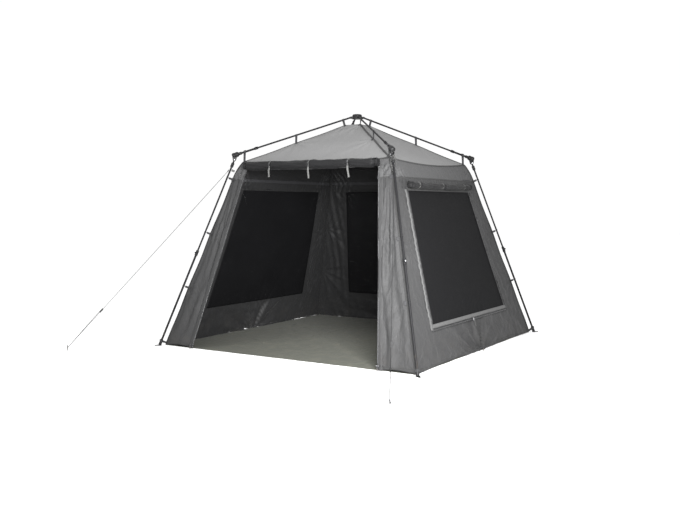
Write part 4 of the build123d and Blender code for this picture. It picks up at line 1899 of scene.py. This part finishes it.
class Hardware:
    """Finishes of the carried-over frame parts, and their small fittings."""

    FINISHES = {"pole": Finish.POLE, "frame_plastic": Finish.PLASTIC, "button": Finish.BUTTON,
                "peg_metal": Finish.PEG}

    @classmethod
    def dress(cls) -> None:
        """Give every frame part that is still shown its finish."""
        slots = {part["node"]: part["material_slot"] for part in frame["record"]["subparts"]}
        for node, piece in frame["nodes"].items():
            finish = cls.FINISHES.get(slots[node])
            if piece.hide_render or finish is None:
                continue
            for place in piece.material_slots:
                place.material = finish.material
            LOG.info("%s wears %s", node, finish.value.name)

    @staticmethod
    def dome(name: str, spot: Array, facing: Array, radius: float, height: float,
             finish: Finish) -> bpy.types.Object:
        """Make a rivet's domed head with a small rim.

        Args:
            name: its name.
            spot: the middle of its foot.
            facing: the way it stands.
            radius: its radius.
            height: its height.
            finish: its finish.

        Returns:
            The object.
        """
        facing = np.asarray(facing, float) / np.linalg.norm(facing)
        outline = ((1.0, 0.0), (1.0, 0.22), (0.90, 0.34), (0.82, 0.36), (0.72, 0.62), (0.50, 0.86),
                   (0.24, 0.98))
        path = np.array([spot + facing * height * share for _, share in outline])
        return Workshop.tube(name, path, radius * np.array([size for size, _ in outline]), finish, 20)

    @classmethod
    def fit_pins(cls) -> None:
        """Make the elbows' rivet heads, barrels, clamps and collars, and the grip rings of the leg locks."""
        shares = np.array((0.0, 0.06, 0.14, 0.40, 0.46, 0.54, 0.60, 0.86, 0.94, 1.0))
        sizes = np.array((0.0098, 0.0132, 0.0146, 0.0150, 0.0134, 0.0134, 0.0150, 0.0146, 0.0130, 0.0098))
        for corner in Corner:
            name = corner.label
            along, outward, across = LINES.turned(corner, LINES.leg)
            pin = np.array(corner.at(*LINES.elbow))
            heads = [cls.dome(f"pin_{name}_{end:g}", pin + across * end * 0.0158, across * end, 0.0066,
                              0.0032, Finish.BUTTON) for end in (-1.0, 1.0)]
            joined = Workshop.joined(f"elbow_rivets_{name}", heads)
            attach(joined, f"roof_{name}")
            lock = np.array(LINES.on_leg(corner, 0.5 * LINES.leg[2] + 0.0285))
            ribs = [Workshop.tube(f"rib_{name}_{number}",
                                  hoop(lock - along * 0.0105 * number, across, outward, 0.0135), 0.0011,
                                  Finish.PLASTIC, 10) for number in (0, 1, 4)]
            grip = Workshop.joined(f"lock_ribs_{name}", ribs)
            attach(grip, f"shin_{name}")
            top = np.array(LINES.on_leg(corner, 0.030))
            clamp = Workshop.tube(f"leg_clamp_{name}", top + along * shares[:, None] * 0.046, sizes,
                                  Finish.PLASTIC, 28)
            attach(clamp, f"leg_{name}")
            along, upward, _ = LINES.turned(corner, LINES.roof)
            length = LINES.roof[2]
            tip = np.array(LINES.on_roof(corner, length - 0.056))
            barrel = Workshop.tube(f"elbow_barrel_{name}", tip + along * shares[:, None] * 0.064,
                                   sizes * 1.60, Finish.PLASTIC, 28)
            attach(barrel, f"roof_{name}")
            rings = []
            for number, back in enumerate((0.080, 0.070, 0.060)):
                ring = hoop(np.array(LINES.on_roof(corner, length - back)), across, upward, 0.0137)
                rings.append(Workshop.tube(f"collar_{name}_{number}", ring, 0.0013, Finish.PLASTIC, 10))
            collar = Workshop.joined(f"elbow_collar_{name}", rings)
            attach(collar, f"roof_{name}")


# ------------------------------------------------------------------ studio


class Studio:
    """Floor, lights and camera.

    Attributes:
        SPOT: where the camera is.
        HEADING: its degrees to the right of +Y, above level, and of tilt.
        LENS: its focal length in millimetres.
        KEY: the near light's place, target, side, watts and spread.
        SKY: the same of the high light.
    """

    SPOT = (4.1613, -7.0159, 1.3054)
    HEADING = (-31.825, -3.745, 0.07)
    LENS = 44.26
    KEY = ((2.7, -3.6, 1.55), (0.9, -1.2, 0.9), 1.5, 95.0, 1.1)
    SKY = ((-2.6, -5.0, 5.0), (-0.1, -0.5, 1.9), 2.4, 72.0, 2.1)

    @staticmethod
    def look(yaw: float, pitch: float, roll: float = 0.0) -> Matrix:
        """A camera's turn from its heading.

        Args:
            yaw: degrees to the right of +Y.
            pitch: degrees above level.
            roll: degrees of tilt.

        Returns:
            The rotation.
        """
        yaw, pitch, roll = (math.radians(v) for v in (yaw, pitch, roll))
        ahead = Vector((math.sin(yaw) * math.cos(pitch), math.cos(yaw) * math.cos(pitch), math.sin(pitch)))
        right = ahead.cross(Vector((0, 0, 1))).normalized()
        top = right.cross(ahead)
        right, top = (right * math.cos(roll) + top * math.sin(roll),
                      top * math.cos(roll) - right * math.sin(roll))
        return Matrix((right, top, -ahead)).transposed()

    @classmethod
    def aim_camera(cls) -> None:
        """Set the camera up."""
        data = bpy.data.cameras.new("camera")
        data.lens, data.sensor_width = cls.LENS, 36.0
        data.clip_end = 100.0
        camera = bpy.data.objects.new("camera", data)
        camera.matrix_world = Matrix.Translation(cls.SPOT) @ cls.look(*cls.HEADING).to_4x4()
        bpy.context.scene.collection.objects.link(camera)
        bpy.context.scene.camera = camera

    @staticmethod
    def lamp(name: str, spot: tuple, target: tuple, size: float, power: float, spread: float) -> None:
        """Add a square soft light.

        Args:
            name: its name.
            spot: where it is.
            target: what it lights.
            size: its side in metres.
            power: its watts.
            spread: the angle it shines into, in radians.
        """
        data = bpy.data.lights.new(name, "AREA")
        data.shape, data.size, data.energy, data.spread = "SQUARE", size, power, spread
        lamp = bpy.data.objects.new(name, data)
        turn = (Vector(target) - Vector(spot)).to_track_quat("-Z", "Y")
        lamp.matrix_world = Matrix.Translation(spot) @ turn.to_matrix().to_4x4()
        lamp.visible_camera = False
        bpy.context.scene.collection.objects.link(lamp)

    @classmethod
    def light(cls) -> None:
        """Set the world and the lights."""
        world = bpy.data.worlds.new("studio")
        world.use_nodes = True
        backdrop = world.node_tree.nodes["Background"]
        backdrop.inputs["Color"].default_value = (1.0, 1.0, 1.0, 1.0)
        backdrop.inputs["Strength"].default_value = 1.02
        bpy.context.scene.world = world
        cls.lamp("key", *cls.KEY)
        cls.lamp("sky", *cls.SKY)

    @staticmethod
    def lay_floor() -> None:
        """Lay a wide, level, pale floor."""
        half, count = 30, 24
        x, y = np.meshgrid(np.linspace(-half, half, count), np.linspace(-half, half, count))
        grid = np.stack([x, y, np.zeros(x.shape)], 2)
        bench = Bench("studio_floor")
        point = bench.place()
        mottle = bench.cloud(point, 0.35, 2.0, 0.5)
        material = bench.wire(Base_Color=bench.shade((0.90, 0.90, 0.90), mottle * 0.04 + 0.96),
                              Roughness=mottle * 0.1 + 0.8,
                              Emission_Color=(1.0, 1.0, 1.0), Emission_Strength=0.14)
        mesh = bpy.data.meshes.new("floor")
        number = np.arange(count * count).reshape(count, count)
        faces = np.stack([number[:-1, :-1], number[:-1, 1:], number[1:, 1:], number[1:, :-1]], 2)
        mesh.from_pydata(grid.reshape(-1, 3).tolist(), [], faces.reshape(-1, 4).tolist())
        mesh.materials.append(material)
        floor = bpy.data.objects.new("floor", mesh)
        bpy.context.scene.collection.objects.link(floor)


def main() -> None:
    """Build the tent's looks over the frame."""
    logging.basicConfig(level=logging.INFO, format="%(name)s: %(message)s")
    bpy.context.scene.view_settings.view_transform = "Standard"
    Studio.aim_camera()
    canopy = Canopy()
    rigging = Rigging(canopy)
    rigging.make_guys()
    rigging.lay_ground()
    rigging.hold_roof()
    rigging.hold_legs()
    rigging.peg_hem()
    Roll(Side.FRONT, "door_roll", 0.043, 0.715, 1.668, 0.044, (-0.405, 0.020, 0.425), Finish.DOOR,
         "door_cloth").make(canopy)
    rigging.door_straps()
    rigging.elbow_hank()
    for side in Side:
        canopy.make_seams(side)
        if side is not Side.FRONT:
            canopy.make_window(side)
        canopy.make_wall(side)
        canopy.make_roof(side)
        LOG.info("side %s is sewn", side.label)
    canopy.make_cap()
    Hardware.dress()
    Hardware.fit_pins()
    Studio.lay_floor()
    Studio.light()


if __name__ == "__main__":
    main()
